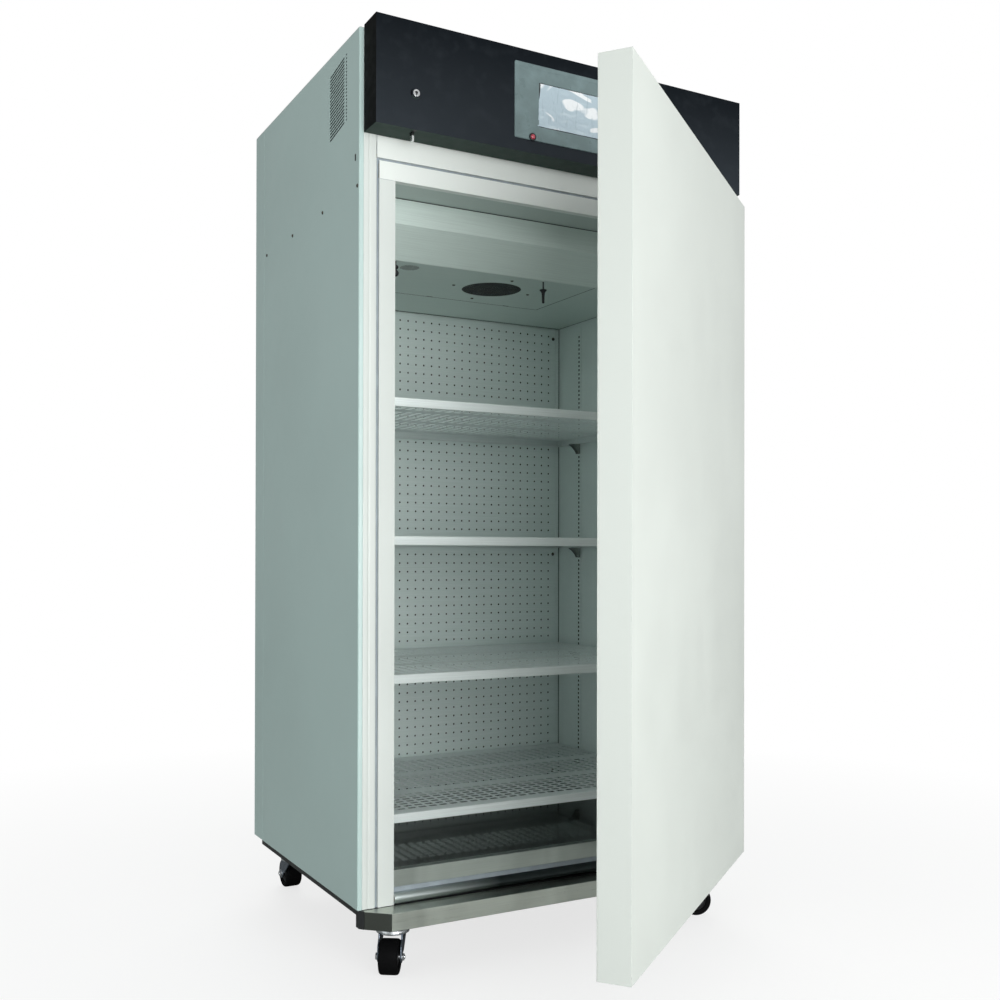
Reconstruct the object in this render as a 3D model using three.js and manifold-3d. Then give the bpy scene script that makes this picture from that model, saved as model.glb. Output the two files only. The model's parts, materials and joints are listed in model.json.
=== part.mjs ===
// Reach-in laboratory incubator: an insulated upright cabinet on four swivel casters, with one
// full-height hinged door, a refrigeration compartment behind the top console, an air plenum
// under the ceiling and four perforated shelves.
//
// Frame: millimetres, +Z up, origin at the middle of the base pan's underside, midway between the
// cabinet's front and back. Heights below are measured from the floor, and the finished group is
// lowered onto that origin at the end. The door is on the -Y side and hinges on the right (+X),
// and it stands part open in this pose.

import * as THREE from 'three';
import { mergeVertices } from 'three/addons/utils/BufferGeometryUtils.js';
import Module from 'manifold-3d';

const wasm = await Module();
wasm.setup();

// ---------------------------------------------------------------- driving dimensions

const GAP = 0.3; // clearance between neighbouring pieces
const SHEET = 1.5; // sheet metal thickness

// Cabinet shell
const HALF_W = 520;
const FRONT = -389;
const BACK = 389;
const SHELL_BOTTOM = 160;
const SHELL_TOP = 2118;
const REAR_SEAM = 313; // where the side panels stop and the rear cover starts
const SIDE_RETURN = 10; // width of the side panel's fold on the front

// Front frame
const STILE_EDGE = 478; // outer stile's inner edge, from the middle
const GROOVE = 6; // width of the thermal break between outer and inner frame
const FRAME_DEPTH = 17;
const OPENING_HALF = 433;
const OPENING_TOP = 1788;
const INNER_HEADER_TOP = 1829;
const HEADER_STEP = 1870; // the header steps back above this height

// Chamber
const FLOOR_TOP = 236;
const LINER_SHEET = 1.2;
const LINER_HALF = 433.3;
const LINER_FRONT = -371.5;
const LINER_BACK = 345.3;
const LINER_CEILING = 1788.3;
const INSULATION_BACK = 385;
const INSULATION_TOP = 1850;

// Plenum under the ceiling
const PLENUM_BOTTOM = 1660;
const PLENUM_FRONT = -214;
const PLENUM_FOLD = 1728; // below this the front face slopes back
const PLENUM_TOP_FRONT = -281;
const FAN_X = -8;
const FAN_Y = -58;
const FAN_OPENING_R = 80;
const FAN_PANEL_REAR = 98;
const FAN_PANEL_RIGHT = 224;

// Rear duct panel and shelf supports
const DUCT_FRONT = 305;
const PILASTER_REAR_Y = 188;
const PILASTER_FRONT_Y = -245;

// Shelves
const SHELF_HALF = 427;
const SHELF_FRONT = -355;
const SHELF_BACK = 300;
const SHELF_H = 21;
const SHELF_PITCH = 317.5; // 25 slots of 12.7 mm
const SHELF_LOWEST = 355.5;
const SHELF_COUNT = 4;

// Console
const CONSOLE_HALF = 509.5;
const CONSOLE_FRONT = -458;
const CONSOLE_BOTTOM = 1884;
const CONSOLE_TOP = 2124;
const CONSOLE_SHEET = 2;

// Display
const BEZEL_HALF = 165;
const BEZEL_BOTTOM = 1914;
const BEZEL_TOP = 2092;
const SCREEN_HALF = 100;
const SCREEN_BOTTOM = 1948;
const SCREEN_TOP = 2052;
const LAMP_X = -118;
const LAMP_Z = 1921;

// Lock
const LOCK_X = -415;
const LOCK_Z = 1964;
const LOCK_R = 8;
const BOLT_Y = -438;
const BOLT_W = 5;
const BOLT_D = 12;
const BOLT_TIP = 1864;
const RUNNING_CLEARANCE = 0.02; // smallest radial gap between a pin and its faceted hole

// Door, in its closed place
const DOOR_FREE_EDGE = -499;
const DOOR_HINGE_EDGE = 515;
const DOOR_OUTER = -464;
const DOOR_INNER = -398;
const DOOR_BOTTOM = 174;
const DOOR_TOP = 1860;
const DOOR_OPEN_DEG = 37.7;
const HINGE_X = 502;
const HINGE_Y = -427;
const HINGE_PIN_R = 5;

// Bumper and base
const BUMPER_TOP = 159.5;
const BUMPER_BOTTOM = 120;
const BUMPER_FRONT = -443;
const BUMPER_CORNER_X = 460;
const BUMPER_END_X = 508;
const BUMPER_END_Y = -400;
const PAN_HALF = 517;
const PAN_REAR = 327;
const PAN_BOTTOM = 147;
const PAN_FACE = 157.5; // underside of the pan's plate, and the height of the frame's origin

// Casters
const CASTER_X = 413;
const CASTER_FRONT_Y = -338;
const CASTER_REAR_Y = 356;
const CASTER_PLATE_BOTTOM = 113;
const CROWN_TOP = 96;
const CROWN_BOTTOM = 85;
const WHEEL_R = 40;
const WHEEL_W = 42;
const WHEEL_TRAIL = 38;
const AXLE_R = 6;
const ROUND_SEGMENTS = 24;

// ---------------------------------------------------------------- materials

function finish(color, roughness, metalness) {
  return new THREE.MeshStandardMaterial({ color, roughness, metalness });
}

const whiteEnamel = () => finish(0xe6eae6, 0.45, 0.1);
const greyEnamel = () => finish(0xb4c0b9, 0.5, 0.15);
const stainless = () => finish(0xbfc4be, 0.32, 0.9);
const mirrorSteel = () => finish(0x3a403f, 0.12, 0.95);
const zincSteel = () => finish(0xa9adb0, 0.4, 0.85);
const blackPaint = () => finish(0x1b1e20, 0.45, 0.2);
const consolePlastic = () => finish(0x272c33, 0.4, 0.05);
const bezelPlastic = () => finish(0x748483, 0.3, 0.05);
const screenGlass = () => finish(0xc9d2d6, 0.15, 0);
const redLens = () => finish(0xb0303a, 0.25, 0);
const foam = () => finish(0xd9c98a, 0.95, 0);
const rubberBlack = () => finish(0x101112, 0.8, 0);
const greyGasket = () => finish(0x8f989a, 0.75, 0);
const darkBronze = () => finish(0x3d342c, 0.45, 0.7);
const copper = () => finish(0x9d6b48, 0.4, 0.85);

// ---------------------------------------------------------------- solids

function box(x0, x1, y0, y1, z0, z1) {
  const geometry = new THREE.BoxGeometry(x1 - x0, y1 - y0, z1 - z0);
  return geometry.translate((x0 + x1) / 2, (y0 + y1) / 2, (z0 + z1) / 2);
}

function extrude(points, depth) {
  const shape = new THREE.Shape(points.map(([a, b]) => new THREE.Vector2(a, b)));
  return new THREE.ExtrudeGeometry(shape, { depth, bevelEnabled: false });
}

const AXIS_X = new THREE.Vector3(1, 0, 0);
const AXIS_Y = new THREE.Vector3(0, 1, 0);
const AXIS_Z = new THREE.Vector3(0, 0, 1);

// Outline in (x, y), raised along Z.
function prismZ(points, z0, z1) {
  return extrude(points, z1 - z0).translate(0, 0, z0);
}

// Outline in (y, z), run along X.
function prismX(points, x0, x1) {
  const turn = new THREE.Matrix4().makeBasis(AXIS_Y, AXIS_Z, AXIS_X);
  return extrude(points, x1 - x0).applyMatrix4(turn).translate(x0, 0, 0);
}

// Outline in (x, z), run along Y.
function prismY(points, y0, y1) {
  const turn = new THREE.Matrix4().makeBasis(AXIS_Z, AXIS_X, AXIS_Y);
  const swapped = points.map(([x, z]) => [z, x]);
  return extrude(swapped, y1 - y0).applyMatrix4(turn).translate(0, y0, 0);
}

function cylinderZ(r, x, y, z0, z1, segments = ROUND_SEGMENTS) {
  const geometry = new THREE.CylinderGeometry(r, r, z1 - z0, segments);
  return geometry.rotateX(Math.PI / 2).translate(x, y, (z0 + z1) / 2);
}

function cylinderX(r, y, z, x0, x1, segments = ROUND_SEGMENTS) {
  const geometry = new THREE.CylinderGeometry(r, r, x1 - x0, segments);
  return geometry.rotateZ(Math.PI / 2).translate((x0 + x1) / 2, y, z);
}

function cylinderY(r, x, z, y0, y1, segments = ROUND_SEGMENTS) {
  const geometry = new THREE.CylinderGeometry(r, r, y1 - y0, segments);
  return geometry.translate(x, (y0 + y1) / 2, z);
}

// A solid of revolution about Z from an outline in (radius, z) that starts and ends on the axis.
function turned(points, x, y, segments = ROUND_SEGMENTS) {
  const outline = points.map(([r, z]) => new THREE.Vector2(r, z));
  const geometry = new THREE.LatheGeometry(outline, segments);
  return geometry.rotateX(Math.PI / 2).translate(x, y, 0);
}

// A radius whose faceted hole clears a round pin of radius r all the way round.
function holeRadius(r) {
  return (r + RUNNING_CLEARANCE) / Math.cos(Math.PI / ROUND_SEGMENTS);
}

function toSolid(geometry) {
  const bare = geometry.index ? geometry.toNonIndexed() : geometry.clone();
  bare.deleteAttribute('normal');
  bare.deleteAttribute('uv');
  const merged = mergeVertices(bare, 1e-4);
  const vertProperties = new Float32Array(merged.attributes.position.array);
  const triVerts = new Uint32Array(merged.index.array);
  return new wasm.Manifold(new wasm.Mesh({ numProp: 3, vertProperties, triVerts }));
}

function fromSolid(solid) {
  const mesh = solid.getMesh();
  const geometry = new THREE.BufferGeometry();
  geometry.setAttribute('position', new THREE.BufferAttribute(mesh.vertProperties, 3));
  geometry.setIndex(new THREE.BufferAttribute(mesh.triVerts, 1));
  geometry.computeVertexNormals();
  return geometry;
}

function cut(body, ...tools) {
  let solid = toSolid(body);
  for (const tool of tools) solid = solid.subtract(toSolid(tool));
  return fromSolid(solid);
}

function join(body, ...others) {
  let solid = toSolid(body);
  for (const other of others) solid = solid.add(toSolid(other));
  return fromSolid(solid);
}

// ---------------------------------------------------------------- assembly

const incubator = new THREE.Group();

function piece(name, geometry, material, parent = incubator) {
  const mesh = new THREE.Mesh(geometry, material);
  mesh.name = name;
  parent.add(mesh);
  return mesh;
}

// Mirrors an outline in (x, y) or (x, z) when side is 1; outlines are drawn for side -1.
function onSide(points, side) {
  return points.map(([a, b]) => [-side * a, b]);
}

const SIDES = [['left', -1], ['right', 1]];

// ---------------------------------------------------------------- outer shell

const VENT_FRONT = -313;
const VENT_BACK = -224;
const VENT_BOTTOM = 1932;
const VENT_TOP = 2092;
const VENT_ROWS = 8;
const VENT_COLUMNS = 3;
const VENT_SLANT = Math.PI / 5;

function ventSlots() {
  const slots = [];
  const width = (VENT_BACK - VENT_FRONT) / VENT_COLUMNS;
  const height = (VENT_TOP - VENT_BOTTOM) / VENT_ROWS;
  for (let row = 0; row < VENT_ROWS; row += 1) {
    for (let column = 0; column < VENT_COLUMNS; column += 1) {
      const slot = new THREE.BoxGeometry(3 * SHEET, width * 0.8, 4);
      slot.rotateX(VENT_SLANT);
      const y = VENT_FRONT + (column + 0.5) * width;
      const z = VENT_BOTTOM + (row + 0.5) * height;
      slots.push(slot.translate(-HALF_W + SHEET / 2, y, z));
    }
  }
  return slots;
}

const PANEL_TOP = SHELL_TOP - SHEET - GAP;
const PANEL_BOTTOM = SHELL_BOTTOM + GAP;

for (const [name, side] of SIDES) {
  const outline = onSide([
    [-HALF_W, FRONT],
    [-HALF_W + SIDE_RETURN, FRONT],
    [-HALF_W + SIDE_RETURN, FRONT + SHEET],
    [-HALF_W + SHEET, FRONT + SHEET],
    [-HALF_W + SHEET, REAR_SEAM - GAP],
    [-HALF_W, REAR_SEAM - GAP],
  ], side);
  const plain = prismZ(outline, PANEL_BOTTOM, PANEL_TOP);
  const panel = side < 0 ? cut(plain, ...ventSlots()) : plain;
  piece(`${name}_side_panel`, panel, greyEnamel());
}

piece('top_panel', box(-HALF_W, HALF_W, FRONT, BACK, SHELL_TOP - SHEET, SHELL_TOP), whiteEnamel());

piece('rear_cover', prismZ([
  [-HALF_W, REAR_SEAM],
  [-HALF_W + SHEET, REAR_SEAM],
  [-HALF_W + SHEET, BACK - SHEET],
  [HALF_W - SHEET, BACK - SHEET],
  [HALF_W - SHEET, REAR_SEAM],
  [HALF_W, REAR_SEAM],
  [HALF_W, BACK],
  [-HALF_W, BACK],
], PANEL_BOTTOM, PANEL_TOP), greyEnamel());

// ---------------------------------------------------------------- front frame

const FRAME_BACK = FRONT + FRAME_DEPTH;
const INNER_STILE_EDGE = STILE_EDGE - GROOVE;

for (const [name, side] of SIDES) {
  const edge = -HALF_W + SIDE_RETURN + GAP;
  const face = onSide([
    [edge, FRAME_BACK],
    [edge, FRONT + 1.5],
    [edge + 2, FRONT],
    [edge + 11, FRONT],
    [edge + 12.5, FRONT + 1],
    [edge + 15.5, FRONT + 1],
    [edge + 17, FRONT],
    [-STILE_EDGE - 2, FRONT],
    [-STILE_EDGE, FRONT + 1.5],
    [-STILE_EDGE, FRAME_BACK],
    [-STILE_EDGE - SHEET, FRAME_BACK],
    [-STILE_EDGE - SHEET, FRONT + 3],
    [edge + SHEET, FRONT + 3],
    [edge + SHEET, FRAME_BACK],
  ], side);
  piece(`${name}_front_stile`, prismZ(face, PANEL_BOTTOM, PANEL_TOP), whiteEnamel());

  const inner = onSide([
    [-INNER_STILE_EDGE, FRONT],
    [-OPENING_HALF, FRONT],
    [-OPENING_HALF, FRAME_BACK],
    [-OPENING_HALF - SHEET, FRAME_BACK],
    [-OPENING_HALF - SHEET, FRONT + SHEET],
    [-INNER_STILE_EDGE + SHEET, FRONT + SHEET],
    [-INNER_STILE_EDGE + SHEET, FRAME_BACK],
    [-INNER_STILE_EDGE, FRAME_BACK],
  ], side);
  const stile = prismZ(inner, PANEL_BOTTOM, OPENING_TOP);
  piece(`${name}_inner_stile`, stile, whiteEnamel());
}

piece('inner_header', prismX([
  [FRONT, OPENING_TOP + GAP],
  [FRONT, INNER_HEADER_TOP],
  [FRAME_BACK, INNER_HEADER_TOP],
  [FRAME_BACK, INNER_HEADER_TOP - SHEET],
  [FRONT + SHEET, INNER_HEADER_TOP - SHEET],
  [FRONT + SHEET, OPENING_TOP + GAP + SHEET],
  [FRAME_BACK, OPENING_TOP + GAP + SHEET],
  [FRAME_BACK, OPENING_TOP + GAP],
], -INNER_STILE_EDGE, INNER_STILE_EDGE), whiteEnamel());

const HEADER_BOTTOM = INNER_HEADER_TOP + GROOVE;
const HEADER_SETBACK = 3;

piece('header_panel', prismX([
  [FRONT, HEADER_BOTTOM],
  [FRAME_BACK, HEADER_BOTTOM],
  [FRAME_BACK, HEADER_BOTTOM + SHEET],
  [FRONT + SHEET, HEADER_BOTTOM + SHEET],
  [FRONT + SHEET, HEADER_STEP],
  [FRONT + HEADER_SETBACK + SHEET, HEADER_STEP],
  [FRONT + HEADER_SETBACK + SHEET, PANEL_TOP],
  [FRONT + HEADER_SETBACK, PANEL_TOP],
  [FRONT + HEADER_SETBACK, HEADER_STEP + SHEET],
  [FRONT, HEADER_STEP + SHEET],
], -STILE_EDGE + GAP, STILE_EDGE - GAP), whiteEnamel());

const BREAK_OUT = STILE_EDGE - GAP;
const BREAK_IN = INNER_STILE_EDGE + GAP;

piece('thermal_break', prismY([
  [-BREAK_OUT, PANEL_BOTTOM],
  [-BREAK_IN, PANEL_BOTTOM],
  [-BREAK_IN, INNER_HEADER_TOP + GAP],
  [BREAK_IN, INNER_HEADER_TOP + GAP],
  [BREAK_IN, PANEL_BOTTOM],
  [BREAK_OUT, PANEL_BOTTOM],
  [BREAK_OUT, HEADER_BOTTOM - GAP],
  [-BREAK_OUT, HEADER_BOTTOM - GAP],
], FRONT + 4, FRONT + 14), greyGasket());

// ---------------------------------------------------------------- chamber

const INSULATION_FRONT = -368;
const CAVITY_BOTTOM = FLOOR_TOP - 3;

piece('cabinet_insulation', cut(
  box(-HALF_W + 3, HALF_W - 3, INSULATION_FRONT, INSULATION_BACK, SHELL_BOTTOM + 2, INSULATION_TOP),
  box(-LINER_HALF - 2, LINER_HALF + 2, INSULATION_FRONT - 1, LINER_BACK + 2,
    CAVITY_BOTTOM, LINER_CEILING + 2),
), foam());

piece('inner_liner', cut(
  box(-LINER_HALF - LINER_SHEET, LINER_HALF + LINER_SHEET, LINER_FRONT, LINER_BACK + LINER_SHEET,
    CAVITY_BOTTOM + GAP, LINER_CEILING + LINER_SHEET),
  box(-LINER_HALF, LINER_HALF, LINER_FRONT - 1, LINER_BACK, CAVITY_BOTTOM - 1, LINER_CEILING),
), stainless());

const FLOOR_HALF = LINER_HALF - GAP;

piece('liner_floor', box(-FLOOR_HALF + 0.5, FLOOR_HALF - 0.5, FRONT + 5, LINER_BACK - GAP,
  CAVITY_BOTTOM + GAP, FLOOR_TOP), mirrorSteel());

const SILL_HALF = OPENING_HALF - GAP;
const SILL_FACE = FRONT + 3;
const SILL_BOTTOM = 200;

piece('sill_band', prismX([
  [SILL_FACE, SILL_BOTTOM],
  [SILL_FACE + SHEET, SILL_BOTTOM],
  [SILL_FACE + SHEET, FLOOR_TOP + GAP],
  [SILL_FACE + 20, FLOOR_TOP + GAP],
  [SILL_FACE + 20, FLOOR_TOP + GAP + SHEET],
  [SILL_FACE, FLOOR_TOP + GAP + SHEET],
], -SILL_HALF, SILL_HALF), stainless());

const TRIM_R = 14;
const TRIM_STEPS = 12;

// A half-round rolled trim with a short lip on top.
function sillTrimOutline() {
  const centreY = FRONT + 9;
  const centreZ = PANEL_BOTTOM + TRIM_R;
  const outside = [];
  const inside = [];
  for (let i = 0; i <= TRIM_STEPS; i += 1) {
    const a = Math.PI / 2 + (Math.PI * i) / TRIM_STEPS;
    outside.push([centreY + TRIM_R * Math.cos(a), centreZ + TRIM_R * Math.sin(a)]);
    const r = TRIM_R - SHEET;
    inside.push([centreY + r * Math.cos(a), centreZ + r * Math.sin(a)]);
  }
  const lipTop = centreZ + TRIM_R + 5;
  const lip = [[centreY, centreZ + TRIM_R - SHEET], [centreY + SHEET, centreZ + TRIM_R - SHEET],
    [centreY + SHEET, lipTop], [centreY, lipTop]];
  return [...outside.reverse(), ...lip.reverse(), ...inside];
}

piece('sill_trim', prismX(sillTrimOutline(), -SILL_HALF, SILL_HALF), mirrorSteel());

// ---------------------------------------------------------------- plenum

const PLENUM_HALF = LINER_HALF - 0.5;

const plenumFace = prismX([
  [PLENUM_TOP_FRONT, LINER_CEILING - GAP],
  [PLENUM_TOP_FRONT, PLENUM_FOLD],
  [PLENUM_FRONT, PLENUM_BOTTOM],
  [PLENUM_FRONT + 1.4 * SHEET, PLENUM_BOTTOM],
  [PLENUM_TOP_FRONT + SHEET, PLENUM_FOLD + 0.4 * SHEET],
  [PLENUM_TOP_FRONT + SHEET, LINER_CEILING - GAP],
], -PLENUM_HALF, PLENUM_HALF);
const plenumRear = box(-PLENUM_HALF, PLENUM_HALF, FAN_PANEL_REAR, DUCT_FRONT - GAP,
  PLENUM_BOTTOM, PLENUM_BOTTOM + SHEET);
const plenumRight = box(FAN_PANEL_RIGHT, PLENUM_HALF, PLENUM_FRONT + 0.5, FAN_PANEL_REAR + 1,
  PLENUM_BOTTOM, PLENUM_BOTTOM + SHEET);

piece('plenum_cover', join(plenumFace, plenumRear, plenumRight), stainless());

piece('fan_panel', cut(
  box(-PLENUM_HALF, FAN_PANEL_RIGHT - GAP, PLENUM_FRONT + 2 * SHEET, FAN_PANEL_REAR - 1,
    PLENUM_BOTTOM, PLENUM_BOTTOM + SHEET),
  cylinderZ(FAN_OPENING_R, FAN_X, FAN_Y, PLENUM_BOTTOM - 1, PLENUM_BOTTOM + 3, 36),
), stainless());

function fanGrille() {
  const z0 = PLENUM_BOTTOM + SHEET + GAP;
  const z1 = z0 + 2;
  const rim = cut(
    cylinderZ(FAN_OPENING_R + 12, FAN_X, FAN_Y, z0, z1, 36),
    cylinderZ(FAN_OPENING_R - 2, FAN_X, FAN_Y, z0 - 1, z1 + 1, 36),
  );
  const bars = [];
  for (let i = -4; i <= 4; i += 1) {
    const offset = i * 16;
    const reach = Math.sqrt(FAN_OPENING_R ** 2 - offset ** 2) + 3;
    bars.push(box(FAN_X + offset - 1, FAN_X + offset + 1, FAN_Y - reach, FAN_Y + reach, z0, z1));
  }
  return join(rim, ...bars);
}

piece('fan_grille', fanGrille(), blackPaint());

// An axial impeller about its own Z axis, hub bottom at z = 0.
function impeller(hubR, tipR, height, blades) {
  const vanes = [];
  for (let i = 0; i < blades; i += 1) {
    const vane = new THREE.BoxGeometry(tipR - hubR + 4, height * 1.1, 2);
    vane.rotateX(Math.PI / 4.5);
    vane.translate((tipR + hubR) / 2 - 2, 0, height / 2);
    vanes.push(vane.rotateZ((2 * Math.PI * i) / blades));
  }
  return join(cylinderZ(hubR, 0, 0, 0, height), ...vanes);
}

const CIRC_FAN_BOTTOM = 1672;
const CIRC_FAN_H = 26;
piece('circulation_fan', impeller(20, 70, CIRC_FAN_H, 6)
  .translate(FAN_X, FAN_Y, CIRC_FAN_BOTTOM), consolePlastic());

const MOTOR_BOTTOM = CIRC_FAN_BOTTOM + CIRC_FAN_H + 0.5;
piece('fan_motor', join(
  cylinderZ(34, FAN_X, FAN_Y, MOTOR_BOTTOM, 1765),
  cylinderZ(12, FAN_X, FAN_Y, 1760, LINER_CEILING - 2),
  box(FAN_X - 110, FAN_X + 110, FAN_Y - 14, FAN_Y + 14, LINER_CEILING - 4, LINER_CEILING - GAP),
), zincSteel());

// Finned block: a comb of plates on one spine.
function finPack(x0, x1, z0, z1, fins) {
  const pitch = (x1 - x0) / fins;
  const spine = z0 + (z1 - z0) * 0.45;
  const points = [[x0, z0], [x0, z1]];
  for (let i = 0; i < fins - 1; i += 1) {
    const left = x0 + (i + 0.5) * pitch;
    const right = x0 + (i + 1) * pitch;
    points.push([left, z1], [left, spine], [right, spine], [right, z1]);
  }
  points.push([x1, z1], [x1, z0]);
  return points;
}

piece('evaporator_coil', prismY(finPack(-330, 330, 1690, 1775, 14), 150, 250),
  finish(0xaeb4b8, 0.45, 0.8));

const heaterPath = new THREE.CatmullRomCurve3([
  new THREE.Vector3(-300, 120, 1700),
  new THREE.Vector3(0, 120, 1700),
  new THREE.Vector3(290, 118, 1700),
  new THREE.Vector3(310, 95, 1700),
  new THREE.Vector3(290, 72, 1700),
  new THREE.Vector3(100, 70, 1700),
]);
const heaterRing = new THREE.Shape();
heaterRing.absarc(0, 0, 4, 0, 2 * Math.PI, false);
piece('heater_element', new THREE.ExtrudeGeometry(heaterRing, {
  steps: 24, curveSegments: 4, bevelEnabled: false, extrudePath: heaterPath,
}), copper());

// A hanging sensor: a thin rod from the plenum, a round collar and a thicker tip.
function sensor(x, y, rodLength, tipLength) {
  const top = PLENUM_BOTTOM - GAP;
  const collarTop = top - rodLength;
  return turned([
    [0, collarTop - 4 - tipLength],
    [3.5, collarTop - 4 - tipLength],
    [3.5, collarTop - 4],
    [9, collarTop - 4],
    [9, collarTop],
    [2.2, collarTop],
    [2.2, top],
    [0, top],
  ], x, y, 16);
}

piece('temperature_probe', sensor(68, PLENUM_FRONT + 12, 20, 32), blackPaint());
piece('humidity_probe', sensor(-351, PLENUM_FRONT + 12, 12, 20), blackPaint());

// ---------------------------------------------------------------- duct panel and shelf supports

const DUCT_HALF = LINER_HALF - 0.5;

piece('rear_duct_panel', prismZ([
  [-DUCT_HALF, DUCT_FRONT],
  [DUCT_HALF, DUCT_FRONT],
  [DUCT_HALF, LINER_BACK - GAP],
  [DUCT_HALF - SHEET, LINER_BACK - GAP],
  [DUCT_HALF - SHEET, DUCT_FRONT + SHEET],
  [-DUCT_HALF + SHEET, DUCT_FRONT + SHEET],
  [-DUCT_HALF + SHEET, LINER_BACK - GAP],
  [-DUCT_HALF, LINER_BACK - GAP],
], FLOOR_TOP + GAP, PLENUM_BOTTOM - GAP), stainless());

const shelfTops = Array.from({ length: SHELF_COUNT }, (_, i) => SHELF_LOWEST + i * SHELF_PITCH);
const STRIP_IN = LINER_HALF - 0.3;
const STRIP_FACE = LINER_HALF - 1.6;
const CLIP_REACH = 33;
const CLIP_H = 30;

// One slotted strip with a bracket-shaped clip hooked in under each shelf.
function pilaster(side, y) {
  const strip = box(-STRIP_IN, -STRIP_FACE, y - 11, y + 11, FLOOR_TOP + 60, PLENUM_BOTTOM - 12);
  const clips = shelfTops.map((top) => {
    const seat = top - SHELF_H - GAP;
    return prismY([
      [-STRIP_FACE - 0.5, seat],
      [-LINER_HALF + CLIP_REACH, seat],
      [-LINER_HALF + CLIP_REACH, seat - 3],
      [-STRIP_FACE + 3, seat - CLIP_H],
      [-STRIP_FACE - 0.5, seat - CLIP_H],
    ], y - 8, y + 8);
  });
  const drawn = join(strip, ...clips);
  return side < 0 ? drawn : drawn.rotateZ(Math.PI).translate(0, 2 * y, 0);
}

for (const [name, side] of SIDES) {
  piece(`pilaster_${name}_front`, pilaster(side, PILASTER_FRONT_Y), darkBronze());
  piece(`pilaster_${name}_rear`, pilaster(side, PILASTER_REAR_Y), darkBronze());
}

shelfTops.forEach((top, i) => {
  const shelf = cut(
    box(-SHELF_HALF, SHELF_HALF, SHELF_FRONT, SHELF_BACK, top - SHELF_H, top),
    box(-SHELF_HALF + SHEET, SHELF_HALF - SHEET, SHELF_FRONT + SHEET, SHELF_BACK - SHEET,
      top - SHELF_H - 1, top - SHEET),
  );
  piece(`shelf_${SHELF_COUNT - i}`, shelf, stainless());
});

// ---------------------------------------------------------------- machine compartment

const DECK_TOP = INSULATION_TOP + GAP + 2;

piece('machine_deck', box(-HALF_W + 4, HALF_W - 4, -366, BACK - 4, INSULATION_TOP + GAP, DECK_TOP),
  zincSteel());

const COMPRESSOR_X = 220;
const COMPRESSOR_Y = 110;
piece('compressor', turned([
  [0, DECK_TOP + GAP],
  [95, DECK_TOP + GAP],
  [95, DECK_TOP + 12],
  [82, DECK_TOP + 16],
  [85, DECK_TOP + 60],
  [85, DECK_TOP + 120],
  [76, DECK_TOP + 160],
  [48, DECK_TOP + 184],
  [0, DECK_TOP + 190],
], COMPRESSOR_X, COMPRESSOR_Y), blackPaint());

const CONDENSER_FAN_Y = -262;
const CONDENSER_FAN_Z = 1990;
const SHROUD_X = -442;

// Finned coil standing behind the side vent, with the fan's shroud plate on its inner side.
function condenserUnit() {
  const fins = prismY(finPack(-506, SHROUD_X, 1862, 2106, 5), -350, -174);
  const shroud = box(SHROUD_X - 1, SHROUD_X + 38, -352, -172, 1860, 2108);
  const throat = cylinderX(80, CONDENSER_FAN_Y, CONDENSER_FAN_Z, SHROUD_X + 4, SHROUD_X + 40);
  const spider = box(SHROUD_X + 3, SHROUD_X + 8, -352, -172, CONDENSER_FAN_Z - 8,
    CONDENSER_FAN_Z + 8);
  return join(cut(shroud, throat), fins, spider);
}

piece('condenser_coil', condenserUnit(), zincSteel());

const condenserFan = impeller(20, 74, 22, 5);
condenserFan.rotateY(Math.PI / 2);
condenserFan.translate(SHROUD_X + 10, CONDENSER_FAN_Y, CONDENSER_FAN_Z);
piece('condenser_fan', condenserFan, blackPaint());

// ---------------------------------------------------------------- console, display and lock

const CONSOLE_BACK = FRONT - GAP;

function consoleCover() {
  const shell = cut(
    box(-CONSOLE_HALF, CONSOLE_HALF, CONSOLE_FRONT, CONSOLE_BACK, CONSOLE_BOTTOM, CONSOLE_TOP),
    box(-CONSOLE_HALF + CONSOLE_SHEET, CONSOLE_HALF - CONSOLE_SHEET, CONSOLE_FRONT + CONSOLE_SHEET,
      CONSOLE_BACK + 1, CONSOLE_BOTTOM + CONSOLE_SHEET, CONSOLE_TOP - CONSOLE_SHEET),
    box(-SCREEN_HALF - 4, SCREEN_HALF + 4, CONSOLE_FRONT - 1, CONSOLE_FRONT + 3,
      SCREEN_BOTTOM - 4, SCREEN_TOP + 4),
    box(LOCK_X - BOLT_W / 2 - 1, LOCK_X + BOLT_W / 2 + 1, BOLT_Y - BOLT_D / 2 - 1,
      BOLT_Y + BOLT_D / 2 + 1, CONSOLE_BOTTOM - 1, CONSOLE_BOTTOM + 3),
  );
  const collar = cylinderY(LOCK_R + 3.5, LOCK_X, LOCK_Z, CONSOLE_FRONT - 4, CONSOLE_FRONT + 12);
  const bore = cylinderY(holeRadius(LOCK_R), LOCK_X, LOCK_Z, CONSOLE_FRONT - 6,
    CONSOLE_FRONT + 14);
  return cut(join(shell, collar), bore);
}

piece('console_cover', consoleCover(), consolePlastic());

piece('display_bezel', cut(
  box(-BEZEL_HALF, BEZEL_HALF, CONSOLE_FRONT - 3, CONSOLE_FRONT - GAP, BEZEL_BOTTOM, BEZEL_TOP),
  box(-SCREEN_HALF, SCREEN_HALF, CONSOLE_FRONT - 4, CONSOLE_FRONT, SCREEN_BOTTOM, SCREEN_TOP),
  cylinderY(9.5, LAMP_X, LAMP_Z, CONSOLE_FRONT - 4, CONSOLE_FRONT),
), bezelPlastic());

piece('display_screen', box(-SCREEN_HALF + GAP, SCREEN_HALF - GAP, CONSOLE_FRONT - 2,
  CONSOLE_FRONT + 6, SCREEN_BOTTOM + GAP, SCREEN_TOP - GAP), screenGlass());

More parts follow.
